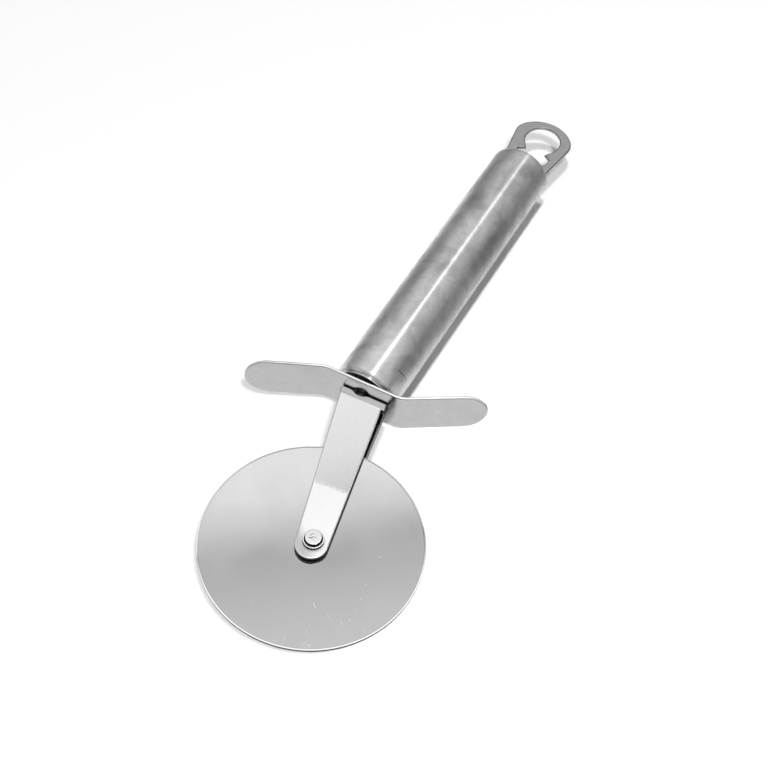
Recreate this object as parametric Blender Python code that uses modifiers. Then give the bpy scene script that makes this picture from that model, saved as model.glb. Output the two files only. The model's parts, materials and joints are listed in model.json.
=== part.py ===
"""A hand pizza cutter of stainless steel: a wheel that turns on a rivet in a bent sheet fork, a finger guard of
bent strip, a closed tube for a handle and a stamped loop in its tail. Metres, +Z up, the wheel's plane level,
the handle along +Y. The origin is the middle of the bounding box, on the surface that the tube touches.

The pieces are placed from the tool's natural centre, which is where the handle's axis passes the wheel's centre.
"""

import math

import bmesh
import bpy
from mathutils import Matrix

# The wheel. It lies in the level plane of the handle's axis, to the right of it.
WHEEL_DIAMETER = 0.0635
WHEEL_THICKNESS = 0.0010
WHEEL_GROUND_WIDTH = 0.0008
WHEEL_EDGE_THICKNESS = 0.0005
WHEEL_OFFSET = 0.0132

# The rivet that the wheel turns on, and the washers round it.
RIVET_DIAMETER = 0.0034
RIVET_HEAD_DIAMETER = 0.0047
RIVET_HEAD_HEIGHT = 0.0009
RIVET_HEAD_ROUNDING = 0.00025
RIVET_WASHER_DIAMETER = 0.0059
RIVET_WASHER_THICKNESS = 0.0007
SPACER_DIAMETER = 0.0080
RUNNING_CLEARANCE = 0.00005
SLIP_CLEARANCE = 0.00015

# The fork: one strip with a web across the handle's front and two arms that reach round the axle.
FORK_SHEET = 0.0011
FORK_ROOT_HEIGHT = 0.0054
FORK_TIP_HEIGHT = 0.0047
FORK_BEND_RADIUS = 0.0005
FORK_ROOT_LEFT = 0.0061
FORK_ROOT_RIGHT = 0.0079
FORK_LOWER_FLARE = 0.0010
FORK_TIP_RADIUS = 0.00495
FORK_TIP_BEYOND_AXLE = 0.0006
FORK_STRAIGHTENS_AT = 0.0172
FORK_HOLE_DIAMETER = 0.0070
FORK_NOTCH_WIDTH = 0.0041
FORK_NOTCH_DEPTH = 0.0009
WEB_FACE = 0.04925

# The finger guard: a strip on edge, bent into a shallow Z.
GUARD_HEIGHT = 0.0154
GUARD_SHEET = 0.0009
GUARD_LEFT_REACH = 0.0338
GUARD_RIGHT_REACH = 0.0349
GUARD_LEFT_BEND = 0.0118
GUARD_RIGHT_BEND = 0.0128
GUARD_BEND_RADIUS = 0.0070
GUARD_MIDDLE_ANGLE = math.radians(3.1)
GUARD_LEFT_ANGLE = math.radians(26.6)
GUARD_RIGHT_ANGLE = math.radians(32.6)
GUARD_HOLE_DIAMETER = 0.0056

# The handle: a tube rolled in at both ends over the pieces that close it.
TUBE_DIAMETER = 0.0200
TUBE_WALL = 0.0008
TUBE_FRONT = 0.0511
TUBE_LENGTH = 0.1047
TUBE_SHOULDER = 0.0015
TUBE_LIP_WIDTH = 0.0017

# The plug in the front of the tube and the cap in its tail.
PLUG_THICKNESS = 0.0030
PLUG_BOSS_STANDOFF = 0.0003
CAP_THICKNESS = 0.0020

# The rod that holds the head to the handle: a flat bar head inside the fork, a nut inside the tube.
TANG_DIAMETER = 0.0038
TANG_LENGTH = 0.0190
TANG_HEAD_WIDTH = 0.0104
TANG_HEAD_THICKNESS = 0.0014
TANG_NUT_ACROSS_FLATS = 0.0070
TANG_NUT_THICKNESS = 0.0032
TANG_NUT_CHAMFER = 0.0003
TANG_WASHER_DIAMETER = 0.0100
TANG_WASHER_THICKNESS = 0.0010

# The hanging loop: a flat plate whose legs run into the tube's tail.
LOOP_SHEET = 0.0012
LOOP_BEYOND_TUBE = 0.0242
LOOP_TOP_RADIUS = 0.0112
LOOP_CORNER_RADIUS = 0.0060
LOOP_CORNER_OFFSET = 0.00395
LOOP_SIDE_LEAN = math.radians(8.5)
LOOP_SHANK_DEPTH = 0.0080
LOOP_SHANK_WIDTH = 0.0154
LOOP_HOLE_DIAMETER = 0.0118
LOOP_HOLE_FROM_TOP = 0.0087
LOOP_CUTOUT_SHIFT = 0.0003
LOOP_NECK_WIDTH = 0.0069
LOOP_BARB_LENGTH = 0.0018
LOOP_BARB_SLOPE = math.radians(61.0)
LOOP_SLOT_WIDTH = 0.0113
LOOP_SLOT_CORNER = 0.0028
LOOP_SLOT_BOTTOM_FROM_TOP = 0.0196

# Clearances that keep neighbours apart, and the overrun that a cutter has past what it cuts.
SEAT_GAP = 0.0003
CUT_OVERRUN = 0.0040
MERGE_DISTANCE = 0.00001

# Smoothness, as counts.
TUBE_SEGMENTS = 80
WHEEL_SEGMENTS = 112
SMALL_SEGMENTS = 36
ARC_SEGMENTS = 12
SHARP_ANGLE = math.radians(32.0)

# What follows from the sizes above.
WHEEL_RADIUS = WHEEL_DIAMETER / 2
TUBE_RADIUS = TUBE_DIAMETER / 2
RIVET_RADIUS = RIVET_DIAMETER / 2
TANG_RADIUS = TANG_DIAMETER / 2
TUBE_TAIL = TUBE_FRONT + TUBE_LENGTH
LIP_RADIUS = TUBE_RADIUS - TUBE_LIP_WIDTH
LOOP_TOP = TUBE_TAIL + LOOP_BEYOND_TUBE
FORK_TIP_SURFACE = FORK_TIP_HEIGHT / 2
PLUG_BACK = TUBE_FRONT + TUBE_WALL + SEAT_GAP + PLUG_THICKNESS
CAP_BACK = TUBE_TAIL - TUBE_WALL - SEAT_GAP - CAP_THICKNESS
LEFT_REACH = max(GUARD_LEFT_REACH, WHEEL_RADIUS - WHEEL_OFFSET)
RIGHT_REACH = max(GUARD_RIGHT_REACH, WHEEL_RADIUS + WHEEL_OFFSET)


def clear_scene():
    for obj in list(bpy.data.objects):
        bpy.data.objects.remove(obj, do_unlink=True)


def make_collection(name):
    collection = bpy.data.collections.new(name)
    bpy.context.scene.collection.children.link(collection)
    return collection


def make_material(name, color, roughness):
    material = bpy.data.materials.new(name)
    material.use_nodes = True
    shader = material.node_tree.nodes["Principled BSDF"]
    shader.inputs["Base Color"].default_value = (*color, 1)
    shader.inputs["Roughness"].default_value = roughness
    shader.inputs["Metallic"].default_value = 1
    return material


def place(obj, collection, material=None, parent=None):
    """Put an object in its collection, with its material, under the tool's centre."""
    for old in list(obj.users_collection):
        old.objects.unlink(obj)
    collection.objects.link(obj)
    if material:
        obj.data.materials.append(material)
    obj.parent = parent
    return obj


def shade_round(mesh):
    mesh.shade_smooth()
    mesh.set_sharp_from_angle(angle=SHARP_ANGLE)


def baked_mesh(obj):
    """The mesh that an object's curve or modifiers make, welded and facing outwards."""
    bpy.context.scene.collection.objects.link(obj)
    bpy.context.view_layer.update()
    graph = bpy.context.evaluated_depsgraph_get()
    mesh = bpy.data.meshes.new_from_object(obj.evaluated_get(graph))
    shape = bmesh.new()
    shape.from_mesh(mesh)
    bmesh.ops.remove_doubles(shape, verts=shape.verts, dist=MERGE_DISTANCE)
    bmesh.ops.recalc_face_normals(shape, faces=shape.faces)
    shape.to_mesh(mesh)
    shape.free()
    return mesh


def object_from_bmesh(name, shape):
    mesh = bpy.data.meshes.new(name)
    shape.to_mesh(mesh)
    shape.free()
    return bpy.data.objects.new(name, mesh)


def arc(center, radius, start, end, segments=ARC_SEGMENTS):
    """Points along an arc in a plane, from one angle to another."""
    steps = [start + (end - start) * i / segments for i in range(segments + 1)]
    return [(center[0] + radius * math.cos(a), center[1] + radius * math.sin(a)) for a in steps]


def turned(name, profile, segments):
    """A turned shape about its own Z. The profile is a closed loop of (radius, height) that runs down outside."""
    shape = bmesh.new()
    points = [shape.verts.new((radius, 0, height)) for radius, height in profile]
    for i, point in enumerate(points):
        shape.edges.new((point, points[(i + 1) % len(points)]))
    drawn = object_from_bmesh(name + "_profile", shape)
    screw = drawn.modifiers.new("Turn", "SCREW")
    screw.steps = segments
    screw.render_steps = segments
    screw.use_merge_vertices = True
    screw.merge_threshold = MERGE_DISTANCE
    mesh = baked_mesh(drawn)
    shade_round(mesh)
    bpy.data.objects.remove(drawn)
    return bpy.data.objects.new(name, mesh)


def ring_profile(inner, outer, bottom, top, rounding=0.0):
    """The profile of a washer, with the rounding on its upper outer edge."""
    rounded = [(outer, top)]
    if rounding:
        rounded = arc((outer - rounding, top - rounding), rounding, math.pi / 2, 0, ARC_SEGMENTS // 2)
    return [(inner, top), *rounded, (outer, bottom), (inner, bottom)]


def plate(name, outlines, thickness):
    """A flat plate centred on its own XY plane. Outlines after the first are holes."""
    curve = bpy.data.curves.new(name, "CURVE")
    curve.dimensions = "2D"
    curve.fill_mode = "BOTH"
    curve.extrude = thickness / 2
    for outline in outlines:
        spline = curve.splines.new("POLY")
        spline.points.add(len(outline) - 1)
        for point, (x, y) in zip(spline.points, outline):
            point.co = (x, y, 0, 1)
        spline.use_cyclic_u = True
    drawn = bpy.data.objects.new(name + "_outline", curve)
    obj = bpy.data.objects.new(name, baked_mesh(drawn))
    obj.matrix_world = drawn.matrix_world
    bpy.data.objects.remove(drawn)
    return obj


def folded_sheet(name, path, width, thickness, turn):
    """A sheet of even thickness, to the right of a path in its own XY plane and width wide along its own Z."""
    shape = bmesh.new()
    low = [shape.verts.new((x, y, -width / 2)) for x, y in path]
    high = [shape.verts.new((x, y, width / 2)) for x, y in path]
    for i in range(len(path) - 1):
        shape.faces.new((low[i], low[i + 1], high[i + 1], high[i]))
    bmesh.ops.transform(shape, matrix=turn, verts=shape.verts)
    obj = object_from_bmesh(name, shape)
    solidify = obj.modifiers.new("Sheet", "SOLIDIFY")
    solidify.thickness = thickness
    solidify.offset = 1
    solidify.use_even_offset = True
    return obj


def cylinder(name, radius, start, end, segments=SMALL_SEGMENTS):
    """A cylinder along its own Z."""
    shape = bmesh.new()
    bmesh.ops.create_cone(
        shape, cap_ends=True, segments=segments, radius1=radius, radius2=radius, depth=end - start
    )
    bmesh.ops.translate(shape, vec=(0, 0, (start + end) / 2), verts=shape.verts)
    obj = object_from_bmesh(name, shape)
    shade_round(obj.data)
    return obj


def cut(obj, cutter, cutters, operation="DIFFERENCE"):
    """Cut one object with another, which is kept out of sight."""
    place(cutter, cutters, parent=obj.parent)
    cutter.hide_render = True
    cutter.display_type = "WIRE"
    boolean = obj.modifiers.new(cutter.name, "BOOLEAN")
    boolean.operation = operation
    boolean.solver = "EXACT"
    boolean.object = cutter


def round_edges(obj, width, segments=2):
    bevel = obj.modifiers.new("Deburred edges", "BEVEL")
    bevel.width = width
    bevel.segments = segments
    bevel.limit_method = "ANGLE"
    bevel.angle_limit = math.radians(50.0)


def along_handle(obj, start=0.0, x=0.0):
    """Lay an object's own Z along the handle, from a place on it."""
    obj.location = (x, start, 0)
    obj.rotation_euler = (-math.pi / 2, 0, 0)
    return obj


def make_wheel(parts, material, center):
    half = WHEEL_THICKNESS / 2
    edge = WHEEL_EDGE_THICKNESS / 2
    bore = RIVET_RADIUS + RUNNING_CLEARANCE
    flat = WHEEL_RADIUS - WHEEL_GROUND_WIDTH
    middle = (bore + flat) / 2
    profile = [(bore, half), (middle, half), (flat, half), (WHEEL_RADIUS, edge)]
    profile += [(WHEEL_RADIUS, -edge), (flat, -half), (middle, -half), (bore, -half)]
    wheel = turned("cutting_wheel", profile, WHEEL_SEGMENTS)
    wheel.location = (WHEEL_OFFSET, 0, 0)
    return place(wheel, parts, material, center)


def make_rivet(parts, material, center):
    """A shank through both arms, with a head on the washer above and a head on the lower arm."""
    seat = FORK_TIP_SURFACE + SLIP_CLEARANCE
    washer_top = seat + RIVET_WASHER_THICKNESS + SLIP_CLEARANCE
    head = RIVET_HEAD_DIAMETER / 2
    top = washer_top + RIVET_HEAD_HEIGHT
    bottom = -seat - RIVET_HEAD_HEIGHT
    inset = RIVET_HEAD_ROUNDING
    profile = [(0, top)]
    profile += arc((head - inset, top - inset), inset, math.pi / 2, 0, ARC_SEGMENTS // 3)
    profile += [(head, washer_top), (RIVET_RADIUS, washer_top), (RIVET_RADIUS, -seat), (head, -seat)]
    profile += arc((head - inset, bottom + inset), inset, 0, -math.pi / 2, ARC_SEGMENTS // 3)
    profile += [(0, bottom)]
    rivet = turned("axle_rivet", profile, SMALL_SEGMENTS)
    rivet.location = (WHEEL_OFFSET, 0, 0)
    return place(rivet, parts, material, center)


def make_rivet_washer(parts, material, center):
    bottom = FORK_TIP_SURFACE + SLIP_CLEARANCE
    inner = RIVET_RADIUS + RUNNING_CLEARANCE
    outer = RIVET_WASHER_DIAMETER / 2
    profile = ring_profile(inner, outer, bottom, bottom + RIVET_WASHER_THICKNESS, RIVET_HEAD_ROUNDING)
    washer = turned("rivet_washer", profile, SMALL_SEGMENTS)
    washer.location = (WHEEL_OFFSET, 0, 0)
    return place(washer, parts, material, center)


def make_spacer(name, side, parts, material, center):
    """A washer that fills the space between the wheel and an arm, but for a slip clearance on each side."""
    near = WHEEL_THICKNESS / 2 + SLIP_CLEARANCE
    far = FORK_TIP_SURFACE - FORK_SHEET - SLIP_CLEARANCE
    inner = RIVET_RADIUS + RUNNING_CLEARANCE
    bottom, top = sorted((side * near, side * far))
    spacer = turned(name, ring_profile(inner, SPACER_DIAMETER / 2, bottom, top), SMALL_SEGMENTS)
    spacer.location = (WHEEL_OFFSET, 0, 0)
    return place(spacer, parts, material, center)


def arm_outline(right_flare):
    """The outline of an arm from above: a root as wide as the web, and a round tip that both sides run into."""
    back = WEB_FACE + CUT_OVERRUN
    lean = math.atan2(WHEEL_OFFSET, WEB_FACE)
    tip = (
        WHEEL_OFFSET + FORK_TIP_BEYOND_AXLE * math.sin(lean),
        -FORK_TIP_BEYOND_AXLE * math.cos(lean),
    )
    left = (-FORK_ROOT_LEFT, WEB_FACE)
    right = (FORK_ROOT_RIGHT + right_flare, WEB_FACE)
    ends = []
    for root, side in ((left, -1), (right, 1)):
        away = math.atan2(root[1] - tip[1], root[0] - tip[0])
        reach = math.dist(root, tip)
        ends.append(away - side * math.acos(FORK_TIP_RADIUS / reach))
    round_tip = arc(tip, FORK_TIP_RADIUS, ends[0], ends[1] + math.tau, 2 * ARC_SEGMENTS)
    return [(left[0], back), left, *round_tip, right, (right[0], back)]


def square_to_guard():
    """A turn in the level plane, about the middle of the web, that sets the web parallel to the guard."""
    pivot = Matrix.Translation((0, WEB_FACE, 0))
    return pivot @ Matrix.Rotation(GUARD_MIDDLE_ANGLE, 4, "Z") @ pivot.inverted()


def fork_section():
    """The fork from the side, as a U that opens forwards: two arms that draw together, and a web folded tightly."""
    root = FORK_ROOT_HEIGHT / 2
    tip = FORK_TIP_HEIGHT / 2
    radius = FORK_BEND_RADIUS
    far = FORK_TIP_RADIUS + FORK_TIP_BEYOND_AXLE + CUT_OVERRUN
    fold = (WEB_FACE - radius, root - radius)
    outside = [(-far, tip), (FORK_STRAIGHTENS_AT, tip), *arc(fold, radius, math.pi / 2, 0, ARC_SEGMENTS // 3)]
    inside = [(WEB_FACE - FORK_SHEET, root - FORK_SHEET), (FORK_STRAIGHTENS_AT, tip - FORK_SHEET)]
    inside.append((-far, tip - FORK_SHEET))
    under = [(y, -z) for y, z in reversed(outside)]
    return outside + under + [(y, -z) for y, z in reversed(inside)] + inside


def make_fork(parts, cutters, material, center):
    """A folded strip, trimmed to the outline of its arms. The hole for the rod runs out into both folds as a notch."""
    root = FORK_ROOT_HEIGHT / 2
    width = 2 * (FORK_ROOT_LEFT + FORK_ROOT_RIGHT + WHEEL_OFFSET + FORK_LOWER_FLARE)
    upright = Matrix(((0, 0, 1, 0), (1, 0, 0, 0), (0, 1, 0, 0), (0, 0, 0, 1)))
    fork = plate("wheel_fork", [fork_section()], width)
    fork.data.transform(square_to_guard() @ upright)
    place(fork, parts, material, center)

    outline = plate("fork_outline", [arm_outline(FORK_LOWER_FLARE)], 2 * (root + CUT_OVERRUN))
    cut(fork, outline, cutters, "INTERSECT")

    narrow = arm_outline(0.0)
    wide = arm_outline(FORK_LOWER_FLARE)
    side = FORK_ROOT_RIGHT + FORK_LOWER_FLARE + CUT_OVERRUN
    edge = [narrow[-3], narrow[-2], narrow[-1], (side, wide[-1][1]), (side, WEB_FACE)]
    trim = plate("fork_upper_trim", [edge], root + CUT_OVERRUN)
    trim.location = (0, 0, (root + CUT_OVERRUN) / 2)
    cut(fork, trim, cutters)

    inner_face = WEB_FACE - FORK_SHEET
    rod_hole = cylinder("fork_rod_hole", FORK_HOLE_DIAMETER / 2, -SLIP_CLEARANCE, FORK_SHEET + CUT_OVERRUN)
    rod_hole.matrix_basis = square_to_guard() @ Matrix.Translation((0, inner_face, 0)) @ Matrix.Rotation(
        -math.pi / 2, 4, "X"
    )
    cut(fork, rod_hole, cutters)

    half = FORK_NOTCH_WIDTH / 2
    notch_radius = (half**2 + FORK_NOTCH_DEPTH**2) / (2 * FORK_NOTCH_DEPTH)
    notch = cylinder("fork_notch", notch_radius, -root - CUT_OVERRUN, root + CUT_OVERRUN)
    notch.location = (0, WEB_FACE - FORK_NOTCH_DEPTH + notch_radius, 0)
    cut(fork, notch, cutters)

    axle = cylinder("fork_axle_holes", RIVET_RADIUS + RUNNING_CLEARANCE, -root - CUT_OVERRUN, root + CUT_OVERRUN)
    axle.location = (WHEEL_OFFSET, 0, 0)
    cut(fork, axle, cutters)
    return fork


def guard_front(x):
    """How far along the handle the front face of the guard's straight middle lies."""
    return WEB_FACE + SEAT_GAP + x * math.tan(GUARD_MIDDLE_ANGLE)


def guard_path():
    """The front face of the guard from above, left to right: two wings, a middle and a round bend at each side."""
    left_turn = GUARD_LEFT_ANGLE - GUARD_MIDDLE_ANGLE
    right_turn = GUARD_RIGHT_ANGLE - GUARD_MIDDLE_ANGLE
    left = (-GUARD_LEFT_BEND, guard_front(-GUARD_LEFT_BEND))
    right = (GUARD_RIGHT_BEND, guard_front(GUARD_RIGHT_BEND))
    start = left[0] - GUARD_LEFT_REACH
    end = right[0] + GUARD_RIGHT_REACH
    path = [(start, left[1] - GUARD_LEFT_REACH * math.tan(GUARD_LEFT_ANGLE))]

    # The left wing turns clockwise into the middle, so the bend's centre lies in front of the strip.
    trim = GUARD_BEND_RADIUS * math.tan(left_turn / 2)
    bend_start = (left[0] - trim * math.cos(GUARD_LEFT_ANGLE), left[1] - trim * math.sin(GUARD_LEFT_ANGLE))
    center = (
        bend_start[0] + GUARD_BEND_RADIUS * math.sin(GUARD_LEFT_ANGLE),
        bend_start[1] - GUARD_BEND_RADIUS * math.cos(GUARD_LEFT_ANGLE),
    )
    quarter = math.pi / 2
    path += arc(center, GUARD_BEND_RADIUS, quarter + GUARD_LEFT_ANGLE, quarter + GUARD_MIDDLE_ANGLE)

    # The right wing turns the other way, so its bend's centre lies behind the strip.
    trim = GUARD_BEND_RADIUS * math.tan(right_turn / 2)
    bend_start = (right[0] - trim * math.cos(GUARD_MIDDLE_ANGLE), right[1] - trim * math.sin(GUARD_MIDDLE_ANGLE))
    center = (
        bend_start[0] - GUARD_BEND_RADIUS * math.sin(GUARD_MIDDLE_ANGLE),
        bend_start[1] + GUARD_BEND_RADIUS * math.cos(GUARD_MIDDLE_ANGLE),
    )
    path += arc(center, GUARD_BEND_RADIUS, GUARD_MIDDLE_ANGLE - quarter, GUARD_RIGHT_ANGLE - quarter)
    path.append((end, right[1] + GUARD_RIGHT_REACH * math.tan(GUARD_RIGHT_ANGLE)))
    return path


def guard_outline():
    """The guard from the front: a strip with ends that are half circles in the slanted plane of each wing."""
    half = GUARD_HEIGHT / 2
    steps = [math.pi * i / (2 * ARC_SEGMENTS) for i in range(2 * ARC_SEGMENTS + 1)]
    outline = []
    for side, reach, angle in ((1, GUARD_RIGHT_REACH, GUARD_RIGHT_ANGLE), (-1, GUARD_LEFT_REACH, GUARD_LEFT_ANGLE)):
        depth = half * math.cos(angle)
        middle = reach - depth
        outline += [(side * (middle + depth * math.sin(a)), side * -half * math.cos(a)) for a in steps]
    return outline


def make_guard(parts, cutters, material, center):
    guard = folded_sheet("finger_guard", guard_path()[::-1], GUARD_HEIGHT + CUT_OVERRUN, GUARD_SHEET, Matrix())
    place(guard, parts, material, center)
    depth = 2 * (GUARD_LEFT_REACH + GUARD_RIGHT_REACH)
    outline = plate("guard_outline", [guard_outline()], depth)
    cut(guard, along_handle(outline, WEB_FACE), cutters, "INTERSECT")
    hole = cylinder("guard_hole", GUARD_HOLE_DIAMETER / 2, -CUT_OVERRUN, CUT_OVERRUN)
    cut(guard, along_handle(hole, WEB_FACE + GUARD_SHEET), cutters)
    return guard


def make_tube(parts, material, center):
    """The handle's wall, with a round shoulder and a flat lip at each end."""
    outer = TUBE_RADIUS
    inner = outer - TUBE_WALL
    bend = TUBE_SHOULDER
    inner_bend = bend - TUBE_WALL
    quarter = math.pi / 2
    front = TUBE_FRONT
    tail = TUBE_TAIL
    outside = [(LIP_RADIUS, tail)]
    outside += arc((outer - bend, tail - bend), bend, quarter, 0, ARC_SEGMENTS // 2)
    outside += arc((outer - bend, front + bend), bend, 0, -quarter, ARC_SEGMENTS // 2)
    outside.append((LIP_RADIUS, front))
    inside = [(LIP_RADIUS, front + TUBE_WALL)]
    inside += arc((inner - inner_bend, front + bend), inner_bend, -quarter, 0, ARC_SEGMENTS // 6)
    inside += arc((inner - inner_bend, tail - bend), inner_bend, 0, quarter, ARC_SEGMENTS // 6)
    inside.append((LIP_RADIUS, tail - TUBE_WALL))
    tube = turned("handle_tube", outside + inside, TUBE_SEGMENTS)
    return place(along_handle(tube), parts, material, center)


def make_plug(parts, material, center):
    """A disc behind the front lip, with a boss that stands in the lip's opening, just behind the guard."""
    disc = TUBE_RADIUS - TUBE_WALL - SEAT_GAP
    boss = LIP_RADIUS - SEAT_GAP
    bore = TANG_RADIUS + SLIP_CLEARANCE
    front = TUBE_FRONT + TUBE_WALL + SEAT_GAP
    shoulder = min(TUBE_SHOULDER - TUBE_WALL, PLUG_THICKNESS / 2)
    face = TUBE_FRONT + PLUG_BOSS_STANDOFF
    profile = [(bore, PLUG_BACK), (disc, PLUG_BACK), (disc, front + shoulder), (disc - shoulder, front)]
    profile += [(boss, front), (boss, face), (bore, face)]
    plug = turned("front_plug", profile, TUBE_SEGMENTS // 2)
    return place(along_handle(plug), parts, material, center)


def make_tail_cap(parts, cutters, material, center):
    """A disc behind the tail's lip, with a slit that the loop's shank passes through."""
    disc = TUBE_RADIUS - TUBE_WALL - SEAT_GAP
    back = TUBE_TAIL - TUBE_WALL - SEAT_GAP
    shoulder = min(TUBE_SHOULDER - TUBE_WALL, CAP_THICKNESS / 2)
    profile = [(0, back), (disc - shoulder, back), (disc, back - shoulder), (disc, CAP_BACK), (0, CAP_BACK)]
    cap = turned("tail_cap", profile, TUBE_SEGMENTS // 2)
    place(along_handle(cap), parts, material, center)
    half_width = LOOP_SHANK_WIDTH / 2 + SEAT_GAP
    half_height = LOOP_SHEET / 2 + SEAT_GAP
    corners = [(-half_width, -half_height), (half_width, -half_height)]
    corners += [(half_width, half_height), (-half_width, half_height)]
    slit = plate("cap_slit", [corners], 2 * (CAP_THICKNESS + CUT_OVERRUN))
    cut(cap, along_handle(slit, back), cutters)
    return cap


def make_tang(parts, cutters, material, center):
    """A rod from the fork's web to inside the tube, with a neck and a flat bar that fit between the arms."""
    head_back = WEB_FACE - FORK_SHEET - SEAT_GAP
    head_front = head_back - TANG_HEAD_THICKNESS
    rod_front = WEB_FACE - FORK_SHEET + SEAT_GAP
    rod = cylinder("tang_rod", TANG_RADIUS, rod_front, head_front + TANG_LENGTH)
    place(along_handle(rod), parts, material, center)
    half_height = FORK_ROOT_HEIGHT / 2 - FORK_SHEET - SEAT_GAP
    neck = cylinder("tang_neck", half_height, head_back - SEAT_GAP, rod_front + SEAT_GAP)
    cut(rod, along_handle(neck), cutters, "UNION")
    half_width = TANG_HEAD_WIDTH / 2
    corners = [(-half_width, -half_height), (half_width, -half_height)]
    corners += [(half_width, half_height), (-half_width, half_height)]
    head = plate("tang_head", [corners], TANG_HEAD_THICKNESS)
    upright = Matrix.Rotation(-math.pi / 2, 4, "X")
    head.matrix_basis = square_to_guard() @ Matrix.Translation((0, head_front + TANG_HEAD_THICKNESS / 2, 0)) @ upright
    cut(rod, head, cutters, "UNION")
    return rod


def make_tang_washer(parts, material, center):
    front = PLUG_BACK + SEAT_GAP
    inner = TANG_RADIUS + SLIP_CLEARANCE
    profile = ring_profile(inner, TANG_WASHER_DIAMETER / 2, front, front + TANG_WASHER_THICKNESS)
    washer = turned("tang_washer", profile, SMALL_SEGMENTS)
    return place(along_handle(washer), parts, material, center)


def make_tang_nut(parts, cutters, material, center):
    """A hexagonal nut with chamfered corners."""
    front = PLUG_BACK + TANG_WASHER_THICKNESS + 2 * SEAT_GAP
    back = front + TANG_NUT_THICKNESS
    nut = cylinder("tang_nut", TANG_NUT_ACROSS_FLATS / math.sqrt(3), front, back, segments=6)
    place(along_handle(nut), parts, material, center)
    round_edges(nut, TANG_NUT_CHAMFER, segments=1)
    bore = cylinder("nut_bore", TANG_RADIUS + SLIP_CLEARANCE, front - CUT_OVERRUN, back + CUT_OVERRUN)
    cut(nut, along_handle(bore), cutters)
    return nut


def loop_outline():
    """The plate from above, right side first: a wide top arc, a tighter corner, a leaning side and the shank."""
    corner_y = LOOP_TOP - LOOP_TOP_RADIUS + math.sqrt(
        (LOOP_TOP_RADIUS - LOOP_CORNER_RADIUS) ** 2 - LOOP_CORNER_OFFSET**2
    )
    meet = math.acos(LOOP_CORNER_OFFSET / (LOOP_TOP_RADIUS - LOOP_CORNER_RADIUS))
    top = arc((0, LOOP_TOP - LOOP_TOP_RADIUS), LOOP_TOP_RADIUS, math.pi / 2, meet)
    corner = arc((LOOP_CORNER_OFFSET, corner_y), LOOP_CORNER_RADIUS, meet, -LOOP_SIDE_LEAN)
    half_shank = LOOP_SHANK_WIDTH / 2
    side_x, side_y = corner[-1]
    shank_y = side_y - (side_x - half_shank) / math.tan(LOOP_SIDE_LEAN)
    right = top + corner[1:] + [(half_shank, shank_y), (half_shank, TUBE_TAIL - LOOP_SHANK_DEPTH)]
    return right + [(-x, y) for x, y in reversed(right[1:])]


def loop_cutout():
    """The opening: a round hole, a neck between two barbs and a wider slot with round lower corners."""
    radius = LOOP_HOLE_DIAMETER / 2
    hole_y = LOOP_TOP - LOOP_HOLE_FROM_TOP
    neck = LOOP_NECK_WIDTH / 2
    barb_half = neck + LOOP_BARB_LENGTH * math.cos(LOOP_BARB_SLOPE)
    leave = -math.acos(barb_half / radius)
    barb_y = hole_y + radius * math.sin(leave) - LOOP_BARB_LENGTH * math.sin(LOOP_BARB_SLOPE)
    slot = LOOP_SLOT_WIDTH / 2
    under_y = barb_y - (slot - neck) * math.tan(math.pi / 2 - LOOP_BARB_SLOPE)
    bottom = LOOP_TOP - LOOP_SLOT_BOTTOM_FROM_TOP
    corner = LOOP_SLOT_CORNER
    right = arc((0, hole_y), radius, math.pi / 2, leave, 2 * ARC_SEGMENTS)
    right += [(neck, barb_y), (slot, under_y)]
    right += arc((slot - corner, bottom + corner), corner, 0, -math.pi / 2, ARC_SEGMENTS // 2)
    left = [(-x, y) for x, y in reversed(right[1:])]
    return [(x + LOOP_CUTOUT_SHIFT, y) for x, y in right + left]


def make_loop(parts, material, center):
    loop = plate("hanging_loop", [loop_outline(), loop_cutout()], LOOP_SHEET)
    place(loop, parts, material, center)
    return loop


def main():
    clear_scene()
    parts = make_collection("pizza_cutter")
    cutters = make_collection("cutters")

    center = bpy.data.objects.new("tool_center", None)
    middle_x = (RIGHT_REACH - LEFT_REACH) / 2
    middle_y = (LOOP_TOP - WHEEL_RADIUS) / 2
    center.location = (-middle_x, -middle_y, TUBE_RADIUS)
    parts.objects.link(center)

    brushed = make_material("brushed_tube_steel", (0.60, 0.60, 0.60), 0.28)
    blade = make_material("blade_steel", (0.66, 0.66, 0.66), 0.22)
    strip = make_material("strip_steel", (0.58, 0.58, 0.58), 0.25)
    polished = make_material("polished_arm_steel", (0.74, 0.74, 0.74), 0.12)
    stamped = make_material("stamped_loop_steel", (0.50, 0.50, 0.50), 0.33)
    rivet_steel = make_material("rivet_steel", (0.68, 0.68, 0.68), 0.24)
    washer_steel = make_material("washer_steel", (0.52, 0.52, 0.52), 0.35)
    rod_steel = make_material("tang_steel", (0.45, 0.45, 0.45), 0.40)
    closure_steel = make_material("closure_steel", (0.48, 0.48, 0.48), 0.36)

    make_wheel(parts, blade, center)
    make_fork(parts, cutters, polished, center)
    make_rivet(parts, rivet_steel, center)
    make_rivet_washer(parts, washer_steel, center)
    make_spacer("spacer_washer_upper", 1, parts, washer_steel, center)
    make_spacer("spacer_washer_lower", -1, parts, washer_steel, center)
    make_guard(parts, cutters, strip, center)
    make_tube(parts, brushed, center)
    make_plug(parts, closure_steel, center)
    make_tail_cap(parts, cutters, closure_steel, center)
    make_tang(parts, cutters, rod_steel, center)
    make_tang_washer(parts, washer_steel, center)
    make_tang_nut(parts, cutters, rod_steel, center)
    make_loop(parts, stamped, center)


main()
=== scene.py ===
import json
import math
from functools import partial

import bmesh
import bpy
import numpy as np
from mathutils import Matrix, Vector

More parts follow.
